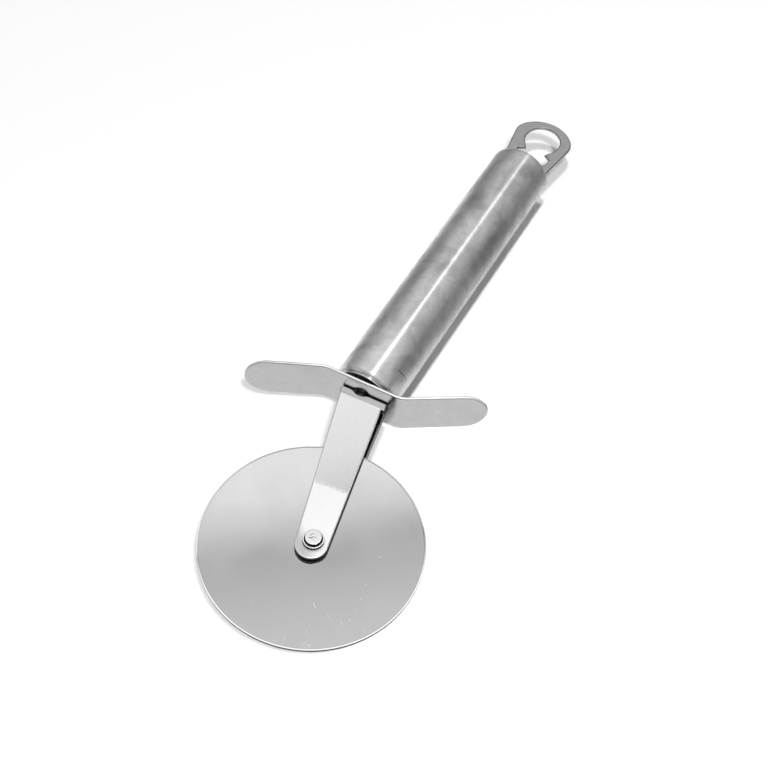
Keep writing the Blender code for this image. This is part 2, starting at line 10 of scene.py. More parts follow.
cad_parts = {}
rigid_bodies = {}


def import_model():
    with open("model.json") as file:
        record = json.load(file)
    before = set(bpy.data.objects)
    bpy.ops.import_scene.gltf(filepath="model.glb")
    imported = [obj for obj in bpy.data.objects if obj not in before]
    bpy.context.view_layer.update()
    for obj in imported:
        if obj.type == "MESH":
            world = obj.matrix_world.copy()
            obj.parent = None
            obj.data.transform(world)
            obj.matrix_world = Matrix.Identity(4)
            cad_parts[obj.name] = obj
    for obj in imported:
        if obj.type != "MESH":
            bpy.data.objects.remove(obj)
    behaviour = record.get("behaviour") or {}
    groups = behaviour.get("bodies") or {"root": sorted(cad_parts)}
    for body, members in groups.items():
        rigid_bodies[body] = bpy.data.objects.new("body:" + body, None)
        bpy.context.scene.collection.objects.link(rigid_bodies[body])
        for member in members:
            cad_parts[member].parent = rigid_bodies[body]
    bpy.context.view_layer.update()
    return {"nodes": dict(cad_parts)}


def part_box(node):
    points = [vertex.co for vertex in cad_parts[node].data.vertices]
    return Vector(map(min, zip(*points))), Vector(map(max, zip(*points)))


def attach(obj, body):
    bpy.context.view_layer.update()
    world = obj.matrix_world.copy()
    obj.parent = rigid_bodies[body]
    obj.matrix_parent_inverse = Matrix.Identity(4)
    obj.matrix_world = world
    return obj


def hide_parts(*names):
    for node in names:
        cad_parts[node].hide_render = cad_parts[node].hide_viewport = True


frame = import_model()
print("frame loaded:", sorted(frame["nodes"]))

mm = 0.001
weldDistance = 0.002    # points closer than this are one, in mm
wheelOffset = 13.2      # the axle lies this far to the right of the handle's axis, in mm

# The tool's natural centre: the handle's axis beside the wheel's centre, at the height of the wheel's mid plane.
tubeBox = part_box("handle_tube")
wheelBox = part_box("cutting_wheel")
toolCentre = np.array([
    (tubeBox[0].x + tubeBox[1].x) / 2,
    (wheelBox[0].y + wheelBox[1].y) / 2,
    (wheelBox[0].z + wheelBox[1].z) / 2,
])


def inFrame(points):
    # Millimetres from the tool's centre become metres in the frame.
    return np.asarray(points, float) * mm + toolCentre


def linearColour(hexText):
    # sRGB hex to the linear values that a shader takes.
    values = [int(hexText[i:i + 2], 16) / 255 for i in (1, 3, 5)]
    return [v / 12.92 if v <= 0.04045 else ((v + 0.055) / 1.055) ** 2.4 for v in values]


def addNode(tree, kind, links=None, **settings):
    # Adds a node of a kind, such as Math, with its settings, and gives its first output. A number or colour goes on
    # a socket, and another node's output is linked to it.
    node = tree.nodes.new("ShaderNode" + kind)
    for name, value in settings.items():
        setattr(node, name, value)
    for socket, value in (links or {}).items():
        if isinstance(value, bpy.types.NodeSocket):
            tree.links.new(value, node.inputs[socket])
        else:
            node.inputs[socket].default_value = value
    return node.outputs[0]


def setStops(output, stops):
    # Puts (position, grey level) pairs on the colour ramp whose output is given, and gives that output back.
    elements = output.node.color_ramp.elements
    elements[0].position, elements[1].position = stops[0][0], stops[-1][0]
    elements[0].color, elements[1].color = (stops[0][1],) * 3 + (1,), (stops[-1][1],) * 3 + (1,)
    for at, level in stops[1:-1]:
        elements.new(at).color = (level, level, level, 1)
    return output


def gridFaces(rows, columns, closedRows=False, closedColumns=False):
    # Quads between neighbouring rows and columns of a grid of points, as four arrays of indexes.
    row = np.arange(rows if closedRows else rows - 1)
    column = np.arange(columns if closedColumns else columns - 1)
    r, c = np.meshgrid(row, column, indexing="ij")
    nextR, nextC = (r + 1) % rows, (c + 1) % columns
    quads = np.stack([r * columns + c, r * columns + nextC, nextR * columns + nextC, nextR * columns + c], -1)
    return quads.reshape(-1, 4)


def makeMesh(name, points, quads):
    # Points in millimetres and their faces as a mesh, with its seams and poles welded and its faces outwards.
    mesh = bpy.data.meshes.new(name)
    mesh.from_pydata(inFrame(points).tolist(), [], quads.tolist())
    shape = bmesh.new()
    shape.from_mesh(mesh)
    bmesh.ops.remove_doubles(shape, verts=shape.verts, dist=weldDistance * mm)
    bmesh.ops.dissolve_degenerate(shape, edges=shape.edges, dist=weldDistance / 2 * mm)
    bmesh.ops.recalc_face_normals(shape, faces=shape.faces)
    shape.to_mesh(mesh)
    shape.free()
    return mesh


def makePiece(name, points, quads, body, material, node, sharpAngle=35.0):
    # A piece with smooth shading up to the sharp angle. It rides on its body and stands for its CAD node.
    mesh = makeMesh(name, points, quads)
    mesh.shade_smooth()
    mesh.set_sharp_from_angle(angle=math.radians(sharpAngle))
    mesh.materials.append(material)
    piece = bpy.data.objects.new(name, mesh)
    bpy.context.scene.collection.objects.link(piece)
    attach(piece, body)
    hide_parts(node)


def arcPoints(centre, radius, start, end, count):
    # Points on a circle about a centre, from one angle to another, both in degrees.
    a = np.radians(np.linspace(start, end, count))
    return np.stack([centre[0] + radius * np.cos(a), centre[1] + radius * np.sin(a)], -1)


def lengthAlong(line):
    # The running length at each point of a polyline.
    return np.concatenate([[0], np.cumsum(np.linalg.norm(np.diff(line, axis=0), axis=1))])


def pointsAt(at, run, line):
    # Each column of a polyline's values, read off between its points at the given running lengths.
    return np.stack([np.interp(at, run, line[:, i]) for i in (0, 1)], -1)


def resample(line, count):
    # Evenly spaced points along a polyline.
    line = np.asarray(line, float)
    run = lengthAlong(line)
    return pointsAt(np.linspace(0, run[-1], count), run, line)


def turned(profile, segments, axis, centre=(0, 0, 0)):
    # A profile of (radius, height) points, closed on itself, carried once round an axis.
    profile = np.asarray(profile, float)
    angle = np.arange(segments) * 2 * np.pi / segments
    across = profile[:, 0, None] * np.cos(angle)
    beside = profile[:, 0, None] * np.sin(angle)
    along = np.repeat(profile[:, 1, None], segments, 1)
    order = {"Z": (across, beside, along), "Y": (beside, along, across)}[axis]
    points = np.stack(order, -1).reshape(-1, 3) + np.asarray(centre, float)
    return points, gridFaces(len(profile), segments, closedRows=True, closedColumns=True)


def outwardNormals(loop):
    # Unit normals of a counterclockwise closed loop, pointing away from what it encloses.
    ahead = np.roll(loop, -1, 0) - loop
    behind = loop - np.roll(loop, 1, 0)
    ahead /= np.linalg.norm(ahead, axis=1)[:, None] + 1e-12
    behind /= np.linalg.norm(behind, axis=1)[:, None] + 1e-12
    along = ahead + behind
    along /= np.linalg.norm(along, axis=1)[:, None] + 1e-12
    return np.stack([along[:, 1], -along[:, 0]], -1)


def sheetWithOpening(outer, inner, thickness, rounding, rings, roundSteps=3):
    # A flat sheet between an outline and an opening whose points match one to one. The section runs from the
    # outline's wall over a quarter round and the face to the opening's wall, then back under the sheet.
    half = thickness / 2
    turn = np.radians(np.linspace(0, 90, roundSteps + 1))
    inset = rounding * (1 - np.cos(turn))
    height = half - rounding + rounding * np.sin(turn)
    outNormal, inNormal = outwardNormals(outer), outwardNormals(inner)
    layers = [(outer - outNormal * d, h) for d, h in zip(inset, height)]
    start, end = outer - outNormal * rounding, inner + inNormal * rounding
    layers += [(start + (end - start) * t, half) for t in np.linspace(0, 1, rings + 1)[1:-1]]
    layers += [(inner + inNormal * d, h) for d, h in zip(inset[::-1], height[::-1])]
    top = np.stack([np.column_stack([flat, np.full(len(flat), h)]) for flat, h in layers])
    bottom = top[::-1] * np.array([1, 1, -1])
    points = np.concatenate([top, bottom])
    return points.reshape(-1, 3), gridFaces(len(points), len(outer), closedRows=True, closedColumns=True)


def fromTo(value, low, high, first, last):
    # A Map Range node's inputs: a value that runs from low to high comes out as first to last.
    return {"Value": value, 1: low, 2: high, 3: first, 4: last}


def noiseOf(vector, size, detail, roughness, distortion=0.0):
    # A Noise Texture node's inputs for a pattern of a size in millimetres.
    return {"Vector": vector, "Scale": 1 / size, "Detail": detail, "Roughness": roughness, "Distortion": distortion}


def metalMaterial(name, look):
    # A bare metal with its shader's fixed numbers, what adds nodes to it, and each point's place in millimetres
    # from the tool's centre.
    material = bpy.data.materials.new(name)
    material.use_nodes = True
    tree = material.node_tree
    shader = tree.nodes["Principled BSDF"]
    shader.inputs["Metallic"].default_value = 1.0
    shader.inputs["Roughness"].default_value = look["roughness"]
    add = partial(addNode, tree)
    where = add("TexCoord").node.outputs["Object"]
    place = add("Mapping", {"Vector": where, "Location": tuple(-toolCentre / mm), "Scale": (1 / mm,) * 3})
    return material, add, place


def facingUp(add):
    # The upward part of the surface's direction, and its size: 1 on a level face and 0 on an upright wall.
    facing = add("NewGeometry").node.outputs["Normal"]
    lift = add("SeparateXYZ", {0: facing}).node.outputs["Z"]
    return lift, add("Math", {0: lift}, operation="ABSOLUTE")


def scratchField(add, place, scratches):
    # How near a point is to any of some straight hairlines: 0 in the middle of a line, 1 at its border and more
    # away from it. Each line is (x, y, length, angle, half width). Its own axes are scaled to its size, and the
    # least distance is kept.
    nearest = None
    for x, y, length, angle, width in scratches:
        local = add("Mapping", {"Vector": place, "Location": (x, y, 0), "Rotation": (0, 0, math.radians(angle)),
                                "Scale": (length / 2, width, 1000)}, vector_type="TEXTURE")
        reach = add("VectorMath", {0: local}, operation="LENGTH").node.outputs["Value"]
        nearest = reach if nearest is None else add("Math", {0: nearest, 1: reach}, operation="MINIMUM")
    return nearest


def finishMetal(material, look, factors, gloss, height):
    # Joins a finish to its shader: the base colour times every shade factor, the gloss, and a bump on the height.
    tree = material.node_tree
    add = partial(addNode, tree)
    shade = factors[0]
    for factor in factors[1:]:
        shade = add("Math", {0: shade, 1: factor}, operation="MULTIPLY")
    colour = add("VectorMath", {0: linearColour(look["base"]), 3: shade}, operation="SCALE")
    bump = add("Bump", {"Height": height, "Strength": look["bump"], "Distance": look["bumpDepth"] * mm})
    for socket, value in (("Base Color", colour), ("Roughness", gloss), ("Normal", bump)):
        tree.links.new(value, tree.nodes["Principled BSDF"].inputs[socket])
    return material


# In every look sizes are in mm. A pattern is (size, detail, roughness, distortion). A shade, light, levels, gloss,
# range or fade row with four numbers says which values, from the first to the second, give which factor, roughness
# or share, from the third to the fourth. A row of scratches, of stains and streaks, or of swirl lines is (x, y,
# length, angle, half width), and an edgeShade or edgeGloss stop is (how far the surface faces up, level); on most
# pieces the edgeShade stops are painted light and shade.
tubeLook = {"base": "#cecece", "roughness": 0.31, "anisotropy": 0.95, "ringTurn": 0.25,
            "ringSpacing": 0.18, "ringFade": 0.03, "rings": (1.0, 3.0, 0.65), "ringShade": (0.3, 0.7, 0.965, 1.035),
            "bump": 0.16, "bumpDepth": 0.02, "smudge": (11.0, 4.0, 0.6, 0.8), "smudgeStretch": (1.0, 0.62, 1.0),
            "smudgeShade": (0.36, 0.58, 0.84, 1.04), "smudgeGloss": (0.35, 0.65, 0.31, 0.24),
            "stain": (5.0, 5.0, 0.62, 0.5), "stainShade": (0.40, 0.53, 0.86, 1.0),
            "scratches": [(8.05, 59.55, 3.6, 21, 0.18), (6.1, 58.6, 1.0, 5, 0.12), (-2.5, 92.0, 2.2, 20, 0.06)],
            "scratchShade": (0.6, 1.2, 0.34, 1.0),
            # The rows are stains, except the last, a long thin line along the right flank, which is painted shade.
            "grimeAndShadeStreaks": [(-7.2, 60.0, 7.0, 62, 1.6), (7.6, 63.0, 9.0, 74, 1.5), (8.4, 118.0, 26.0, 88, 2.0),
                      (-3.0, 128.0, 12.0, 100, 2.4), (-7.5, 141.0, 16.0, 86, 1.8), (4.5, 149.0, 8.0, 60, 2.2),
                      (0.5, 98.0, 9.0, 65, 1.6), (9.95, 103.0, 110.0, 90, 0.3)],
            "grimeAndShadeLevels": (0.4, 1.4, 0.79, 1.0), "frontPaintedLight": (58.0, 74.0, 1.24, 1.0)}


def tubeSteel():
    # Centreless-ground stainless tube: fine rings round the handle blur reflections along it. Handling leaves
    # cloudy smudges and stains that are duller and darker, and there are a few dark scratches. The front end is
    # painted brighter, as painted light, and one long thin streak along the right flank is painted shade.
    look = tubeLook
    material, add, place = metalMaterial("ground_tube_steel", look)
    tree = material.node_tree
    shader = tree.nodes["Principled BSDF"]
    shader.inputs["Anisotropic"].default_value = look["anisotropy"]
    shader.inputs["Anisotropic Rotation"].default_value = look["ringTurn"]
    fade = look["ringFade"]
    across = add("VectorMath", {0: place, 1: (fade, 1 / look["ringSpacing"], fade)}, operation="MULTIPLY")
    brush = add("TexNoise", noiseOf(across, *look["rings"]))
    stretched = add("VectorMath", {0: place, 1: look["smudgeStretch"]}, operation="MULTIPLY")
    broad = add("TexNoise", noiseOf(stretched, *look["smudge"]))
    small = add("TexNoise", noiseOf(place, *look["stain"]))
    # Painted light: the tube is painted brighter towards its front end.
    ahead = add("SeparateXYZ", {0: place}).node.outputs["Y"]
    patterns = ((broad, "smudgeShade"), (small, "stainShade"), (ahead, "frontPaintedLight"), (brush, "ringShade"),
                (scratchField(add, place, look["scratches"]), "scratchShade"))
    factors = [add("MapRange", fromTo(value, *look[row])) for value, row in patterns]
    # Stains, and one streak of painted shade along the right flank.
    grimeAndShadeStreaks = scratchField(add, place, look["grimeAndShadeStreaks"])
    factors.append(add("MapRange", fromTo(grimeAndShadeStreaks, *look["grimeAndShadeLevels"]), interpolation_type="SMOOTHSTEP"))
    gloss = add("MapRange", fromTo(broad, *look["smudgeGloss"]))
    tangent = add("Tangent", direction_type="RADIAL", axis="Y")
    tree.links.new(tangent, shader.inputs["Tangent"])
    return finishMetal(material, look, factors, gloss, brush)


wheelLook = {"base": "#d3d3d3", "roughness": 0.10, "bump": 0.02, "bumpDepth": 0.01,
             "grain": (0.4, 4.0, 0.7), "grainShade": (0.3, 0.7, 0.98, 1.02),
             "cloud": (14.0, 3.0, 0.55, 0.4), "cloudShade": (0.3, 0.7, 0.975, 1.02),
             "cloudGloss": (0.3, 0.7, 0.12, 0.08),
             # edgeShade by facing: the bevel painted bright as a highlight, a painted dark line at its step, the wall
             # painted dark.
             "edgeShade": [(0.0, 0.02), (0.6, 0.03), (0.8, 1.5), (0.970, 1.5), (0.974, 0.55), (0.988, 0.6),
                           (0.998, 1.0)],
             "scratchShade": (0.5, 1.3, 1.25, 1.0), "scratchGloss": (0.5, 1.3, 0.22, 0.0),
             "scratches": [(23.7, -15.6, 2.7, -39, 0.085), (28.6, -16.4, 2.3, -21, 0.06), (32.6, -16.3, 1.6, -19, 0.09),
                           (33.7, -14.3, 0.8, -47, 0.09), (33.4, -7.4, 0.9, -34, 0.08), (34.2, -11.2, 0.5, -24, 0.1),
                           (38.5, -15.0, 0.7, -25, 0.07), (21.7, -27.8, 2.3, -78, 0.07), (25.8, -23.2, 1.2, -64, 0.06),
                           (19.9, -29.7, 0.9, -2, 0.06), (27.0, -26.3, 2.2, -95, 0.06), (27.9, -26.3, 2.2, 35, 0.07),
                           (28.5, -26.2, 1.3, 71, 0.08), (8.4, -23.3, 0.5, 12, 0.06), (31.4, 6.2, 0.5, -36, 0.09),
                           (32.3, -3.0, 0.8, -38, 0.08)]}


def wheelSteel():
    # Buffed blade stock: almost a mirror, with a faint grain, thin clouds and hairline scratches from use. The
    # ground bevel is painted bright as a highlight, and a dark line at its first step and the blunt edge's wall are
    # painted dark as shade.
    look = wheelLook
    material, add, place = metalMaterial("buffed_blade_steel", look)
    grain = add("TexNoise", noiseOf(place, *look["grain"]))
    cloud = add("TexNoise", noiseOf(place, *look["cloud"]))
    reach = scratchField(add, place, look["scratches"])
    patterns = ((cloud, "cloudShade"), (grain, "grainShade"), (reach, "scratchShade"))
    factors = [add("MapRange", fromTo(value, *look[row])) for value, row in patterns]
    # Painted light and shade by how far the surface faces up: bright bevel, dark step line, dark wall.
    flatness = facingUp(add)[1]
    factors.append(setStops(add("ValToRGB", {"Fac": flatness}), look["edgeShade"]))
    scuff = add("MapRange", fromTo(reach, *look["scratchGloss"]))
    gloss = add("MapRange", fromTo(cloud, *look["cloudGloss"]))
    gloss = add("Math", {0: gloss, 1: scuff}, operation="ADD")
    return finishMetal(material, look, factors, gloss, grain)


# The crease is the frosted zone's border, a line that rises by the slope towards the right. The tip is painted
# darker left of and before the axle, as painted shade about the hub, and so is the inner side of each arm, as
# painted shade between the arms, most of all over the wheel.
armLook = {"base": "#d7d7d7", "roughness": 0.12, "wallRoughness": 0.45, "bump": 0.03, "bumpDepth": 0.03,
           "pit": (0.7, 4.0, 0.6), "pitShade": (0.3, 0.7, 0.975, 1.02), "creaseY": 15.96, "creaseSlope": 0.157,
           "speckle": (0.5, 3.0, 0.7), "speckleReach": 4.0, "speckleRange": (1.6, 2.6, 0.0, 1.0),
           "frostGloss": (0.0, 1.0, 0.12, 0.48), "frostPaintedLight": (0.0, 1.0, 1.0, 1.2),
           "cornerSlope": 0.8, "hubPaintedShade": (-4.6, 0.4, 0.6, 1.0), "foldPaintedLight": (46.5, 47.3, 1.0, 1.45),
           "faceRange": (0.97, 0.995, 0.0, 1.0), "innerPaintedShade": (28.0, 32.0, 0.16, 0.42), "innerDepth": -0.3,
           "edgeShade": [(0.0, 0.02), (0.28, 0.03), (0.4, 0.9), (0.5, 1.15), (0.96, 1.12), (0.995, 1.0)]}


def armSteel():
    # Sheet polished before it was bent, with the end about the rivet left frosted beyond a crease whose border is
    # speckled. It is painted brighter beside the fold and at the frosted end, as painted light. The sheared walls
    # and the inner faces carry painted shade, and the rounded edge of the outer face a painted highlight.
    look = armLook
    material, add, place = metalMaterial("polished_arm_steel", look)
    x, y, z = add("SeparateXYZ", {0: place}).node.outputs
    speck = add("TexNoise", noiseOf(place, *look["speckle"]))
    pit = add("TexNoise", noiseOf(place, *look["pit"]))
    crease = add("Math", {0: x, 1: look["creaseSlope"], 2: look["creaseY"]}, operation="MULTIPLY_ADD")
    below = add("Math", {0: crease, 1: y}, operation="SUBTRACT")
    ragged = add("Math", {0: speck, 1: look["speckleReach"], 2: below}, operation="MULTIPLY_ADD")
    frost = add("MapRange", fromTo(ragged, *look["speckleRange"]), interpolation_type="SMOOTHSTEP")
    # Painted shade: the tip is darker left of and before the axle.
    besideAxle = add("Math", {0: x, 1: wheelOffset}, operation="SUBTRACT")
    corner = add("Math", {0: besideAxle, 1: look["cornerSlope"], 2: y}, operation="MULTIPLY_ADD")
    armToneAndPaintedLight = add("MapRange", fromTo(corner, *look["hubPaintedShade"]), interpolation_type="SMOOTHSTEP")
    # Painted light: brighter at the frosted end and beside the fold; the pits are random tone.
    for value, row in ((pit, "pitShade"), (frost, "frostPaintedLight"), (y, "foldPaintedLight")):
        factor = add("MapRange", fromTo(value, *look[row]))
        armToneAndPaintedLight = add("Math", {0: armToneAndPaintedLight, 1: factor}, operation="MULTIPLY")
    lift, flatness = facingUp(add)
    # Painted light and shade by facing: dark sheared walls and a painted highlight on the rounded edge.
    edge = setStops(add("ValToRGB", {"Fac": flatness}), look["edgeShade"])
    onFace = add("MapRange", fromTo(flatness, *look["faceRange"]))
    face = add("Mix", {0: onFace, 2: 1.0, 3: armToneAndPaintedLight})
    # Painted shade on the inner face of each arm, deepest over the wheel.
    outward = add("Math", {0: lift, 1: z}, operation="MULTIPLY")
    dim = add("MapRange", fromTo(y, *look["innerPaintedShade"]))
    inside = add("MapRange", fromTo(outward, look["innerDepth"], 0.0, dim, 1.0))
    gloss = add("MapRange", fromTo(frost, *look["frostGloss"]))
    gloss = add("Mix", {0: onFace, 2: look["wallRoughness"], 3: gloss})
    return finishMetal(material, look, [face, edge, inside], gloss, pit)


def edgedSteel(name, look):
    # Barrel-finished steel: soft patches of a slightly different gloss over a fine pebbled skin. How its faces,
    # rounded edges and cut walls differ in tone and gloss depends on how far the surface faces up; on the guard,
    # loop, rivet and ring that tone is painted light and shade. Dark hairlines are a painted reflection, and the
    # painted edge light may weaken towards one end.
    material, add, place = metalMaterial(name, look)
    patch = add("TexNoise", noiseOf(place, look["patch"], *look["noise"], look["swirl"]))
    skin = add("TexNoise", noiseOf(place, look["skin"], *look["noise"]))
    flatness = facingUp(add)[1]
    # Painted light and shade by how far the surface faces up.
    edge = setStops(add("ValToRGB", {"Fac": flatness}), look["edgeShade"])
    # Painted highlight fade: the painted edge light and shade weaken towards one end.
    if "paintedHighlightFade" in look:
        beside = add("SeparateXYZ", {0: place}).node.outputs["X"]
        share = add("MapRange", fromTo(beside, *look["paintedHighlightFade"]))
        edge = add("Mix", {0: share, 2: 1.0, 3: edge})
    low, high = look["noiseRange"]
    spread, fineSpread, wander = look["spread"], look["skinSpread"], look["wander"]
    broad = add("MapRange", fromTo(patch, low, high, 1 - spread, 1 + spread))
    fine = add("MapRange", fromTo(skin, low, high, 1 - fineSpread, 1 + fineSpread))
    factors = [broad, fine, edge]
    # Painted reflection: dark hairlines, on the rivet a dark swirl.
    if "paintedSwirl" in look:
        reach = scratchField(add, place, look["paintedSwirl"])
        factors.append(add("MapRange", fromTo(reach, *look["paintedSwirlShade"])))
    dull = setStops(add("ValToRGB", {"Fac": flatness}), look["edgeGloss"])
    change = add("MapRange", fromTo(patch, low, high, wander, -wander))
    gloss = add("Math", {0: dull, 1: change}, operation="ADD")
    return finishMetal(material, look, factors, gloss, skin)


# Plain steel: the numbers that the other looks share or change. Patch and skin are the two grain sizes, and the
# spreads and the wander are how far they carry tone and gloss either way.
plainLook = {"skin": 0.6, "patch": 1.6, "noise": (3.0, 0.6), "noiseRange": (0.3, 0.7), "swirl": 0.4,
             "spread": 0.06, "skinSpread": 0.03, "wander": 0.04, "bump": 0.1, "bumpDepth": 0.03,
             "edgeShade": [(0.0, 1.0), (1.0, 1.0)]}

# Strip that was tumbled after cutting, with satin faces. Its upper edges carry a painted highlight above a painted
# dark line, both fading towards the left wing's end.
guardLook = {**plainLook, "base": "#b6b6b6", "roughness": 0.22, "patch": 4.0, "spread": 0.05, "bump": 0.05,
             "paintedHighlightFade": (-20.0, -10.0, 0.3, 1.0),
             "edgeShade": [(0.0, 1.0), (0.10, 0.95), (0.16, 0.45), (0.4, 0.55), (0.56, 1.7), (1.0, 1.8)],
             "edgeGloss": [(0.0, 0.22), (0.3, 0.3), (0.5, 0.5), (1.0, 0.5)]}

# Stamped sheet with matt faces; its rounded outline is painted dark as shade and its punched walls painted
# bright as a reflection.
loopLook = {**plainLook, "base": "#acacac", "roughness": 0.36, "patch": 3.0, "skin": 0.5, "spread": 0.07, "bump": 0.08,
            "edgeShade": [(0.0, 1.7), (0.25, 1.7), (0.38, 0.5), (0.94, 0.5), (0.995, 1.0)],
            "edgeGloss": [(0.0, 0.5), (0.5, 0.4), (1.0, 0.36)]}

# A peened rivet head: a dark swirl on the disc is a painted reflection, the wall under it is painted dark as shade
# and its rounded rim painted bright.
rivetLook = {**plainLook, "base": "#dedede", "roughness": 0.3, "patch": 0.9, "skin": 0.35, "spread": 0.22,
             "swirl": 3.0, "bump": 0.2, "paintedSwirlShade": (0.6, 1.5, 0.22, 1.0),
             "paintedSwirl": [(12.9, 0.75, 1.3, 58, 0.13), (13.35, -0.05, 1.2, 64, 0.12), (12.75, -0.45, 0.7, 50, 0.11),
                       (14.15, 0.45, 0.6, 52, 0.1)],
             "edgeShade": [(0.0, 0.02), (0.66, 0.03), (0.8, 0.8), (0.92, 1.2), (0.98, 1.0)],
             "edgeGloss": [(0.0, 0.6), (0.6, 0.5), (1.0, 0.36)]}

# The rivet's pressed ring: a bright narrow face, its rounded rim painted a little brighter, over a wall painted
# dark as shade.
ringLook = {**plainLook, "base": "#e4e4e4", "roughness": 0.4, "skin": 0.5,
            "edgeShade": [(0.0, 0.02), (0.66, 0.03), (0.8, 0.9), (0.92, 1.1), (1.0, 1.05)],
            "edgeGloss": [(0.0, 0.6), (0.6, 0.5), (1.0, 0.42)]}

# Punched washers with burnished faces and duller sheared walls.
spacerLook = {**plainLook, "base": "#b8b8b8", "roughness": 0.3, "skin": 0.5,
              "edgeShade": [(0.0, 0.6), (1.0, 1.0)], "edgeGloss": [(0.0, 0.42), (1.0, 0.3)]}

# Drawn rod and its nut, unpolished, because they sit inside the handle.
tangLook = {**plainLook, "base": "#5e5e5e", "roughness": 0.48, "patch": 2.0, "spread": 0.08, "bump": 0.15,
            "edgeGloss": [(0.0, 0.48), (1.0, 0.48)]}

# Turned plug and cap that close the tube.
closureLook = {**plainLook, "base": "#9c9c9c", "roughness": 0.36, "patch": 2.5, "spread": 0.08, "bump": 0.12,
               "edgeGloss": [(0.0, 0.36), (1.0, 0.36)]}

tubeFinish, wheelFinish, armFinish = tubeSteel(), wheelSteel(), armSteel()
guardFinish, loopFinish, rivetFinish, ringFinish, spacerFinish, tangFinish, closureFinish = (
    edgedSteel(name, look) for name, look in (
        ("tumbled_strip_steel", guardLook), ("stamped_loop_steel", loopLook), ("peened_rivet_steel", rivetLook),
        ("pressed_ring_steel", ringLook), ("punched_spacer_steel", spacerLook), ("drawn_rod_steel", tangLook),
        ("turned_closure_steel", closureLook)))
print("materials ready")

for nodeName, finish in {
        "front_plug": closureFinish, "tail_cap": closureFinish, "spacer_washer_upper": spacerFinish,
        "spacer_washer_lower": spacerFinish, "tang_washer": spacerFinish, "tang_rod": tangFinish,
        "tang_nut": tangFinish}.items():
    for materialSlot in frame["nodes"][nodeName].material_slots:
        materialSlot.material = finish

tube = {"radius": 10.0, "wall": 0.8, "front": 51.1, "tail": 155.8, "shoulder": 1.5, "lip": 1.7, "lipRound": 0.25,
        "frontShoulder": 1.3, "bead": 0.26, "beadRadius": 8.58, "groove": 0.4, "segments": 224, "rings": 40}


def makeTube():
    # The wall's section: the rolled bead and the groove behind it at the front, the shoulder, the straight wall,
    # the tail's shoulder and lip, then back along the inside.
    radius, bend, front, tail = tube["radius"], tube["shoulder"], tube["front"], tube["tail"]
    lip, inner, edge = radius - tube["lip"], radius - tube["wall"], tube["lipRound"]
    bead, beadRadius, wall = tube["bead"], tube["beadRadius"], tube["wall"]
    innerBend = bend - wall
    shoulderStart = front + 2 * bead + tube["groove"] / 2
    shoulder = tube["frontShoulder"]
    along = np.linspace(shoulderStart + shoulder, tail - bend, tube["rings"])[1:-1]
    outside = [arcPoints((front + bead, beadRadius), bead, 270, 60, 12),
               [(front + bead + tube["groove"], beadRadius - bead / 2)],
               arcPoints((shoulderStart + shoulder, radius - shoulder), shoulder, 172, 90, 14),
               np.column_stack([along, np.full(len(along), radius)]),
               arcPoints((tail - bend, radius - bend), bend, 90, 0, 12),
               arcPoints((tail - edge, lip + edge), edge, 0, -90, 5)]
    inside = [[(tail - wall, lip)], arcPoints((tail - bend, inner - innerBend), innerBend, 0, 90, 6),
              arcPoints((front + bend + wall, inner - innerBend), innerBend, 90, 180, 6), [(front + 2 * wall, lip)]]
    section = np.concatenate(outside + inside)
    points, quads = turned(section[:, ::-1], tube["segments"], "Y")
    makePiece("ground_tube", points, quads, "handle", tubeFinish, "handle_tube")


# The bevel starts with a faint step, given as its width and depth. The guides are how far plain rings of points
# keep from the bore's corner and, twice, from the bevel.
wheel = {"radius": 31.75, "thickness": 1.0, "ground": 0.55, "edge": 0.68, "lowCorner": 0.03, "bore": 1.75,
         "broken": 0.05, "edgeRound": 0.03, "step": (0.12, 0.024), "guides": (1.0, 8.0, 0.4),
         "offset": wheelOffset, "segments": 320, "sharpAngle": 8.0}


def makeWheel():
    # Flat faces, a narrow bevel ground on the upper side only, and a blunt edge with broken corners.
    radius, bore, half, edge = wheel["radius"], wheel["bore"], wheel["thickness"] / 2, wheel["edge"] / 2
    broken, blunt, low = wheel["broken"], wheel["edgeRound"], wheel["lowCorner"]
    stepWidth, stepDepth = wheel["step"]
    boreGuide, farGuide, nearGuide = wheel["guides"]
    flat = radius - wheel["ground"]
    upper = [(bore, half - broken), (bore + broken, half), (bore + boreGuide, half), (flat - farGuide, half),
             (flat - nearGuide, half), (flat, half), (flat + stepWidth, half - stepDepth),
             (radius - broken, edge + blunt), (radius, edge - blunt)]
    under = [(radius, low - half), (radius - low, -half), (flat - farGuide, -half), (bore + boreGuide, -half),
             (bore + broken, -half), (bore, broken - half)]
    points, quads = turned(upper + under, wheel["segments"], "Z", (wheel["offset"], 0, 0))
    makePiece("blade_disc", points, quads, "wheel", wheelFinish, "cutting_wheel", wheel["sharpAngle"])


guard = {"height": 15.4, "sheet": 0.9, "left": 33.8, "right": 34.9, "leftBend": 11.8, "rightBend": 12.8,
         "bendRadius": 7.0, "middleAngle": 3.1, "leftAngle": 26.6, "rightAngle": 32.6, "hole": 5.6,
         "front": 49.55, "rounding": 0.4, "leftTrim": 0.5, "rightTrim": 0.02,
         "pathPoints": 1400, "softening": 9, "sidePoints": 150, "endPoints": 40, "rings": 56}


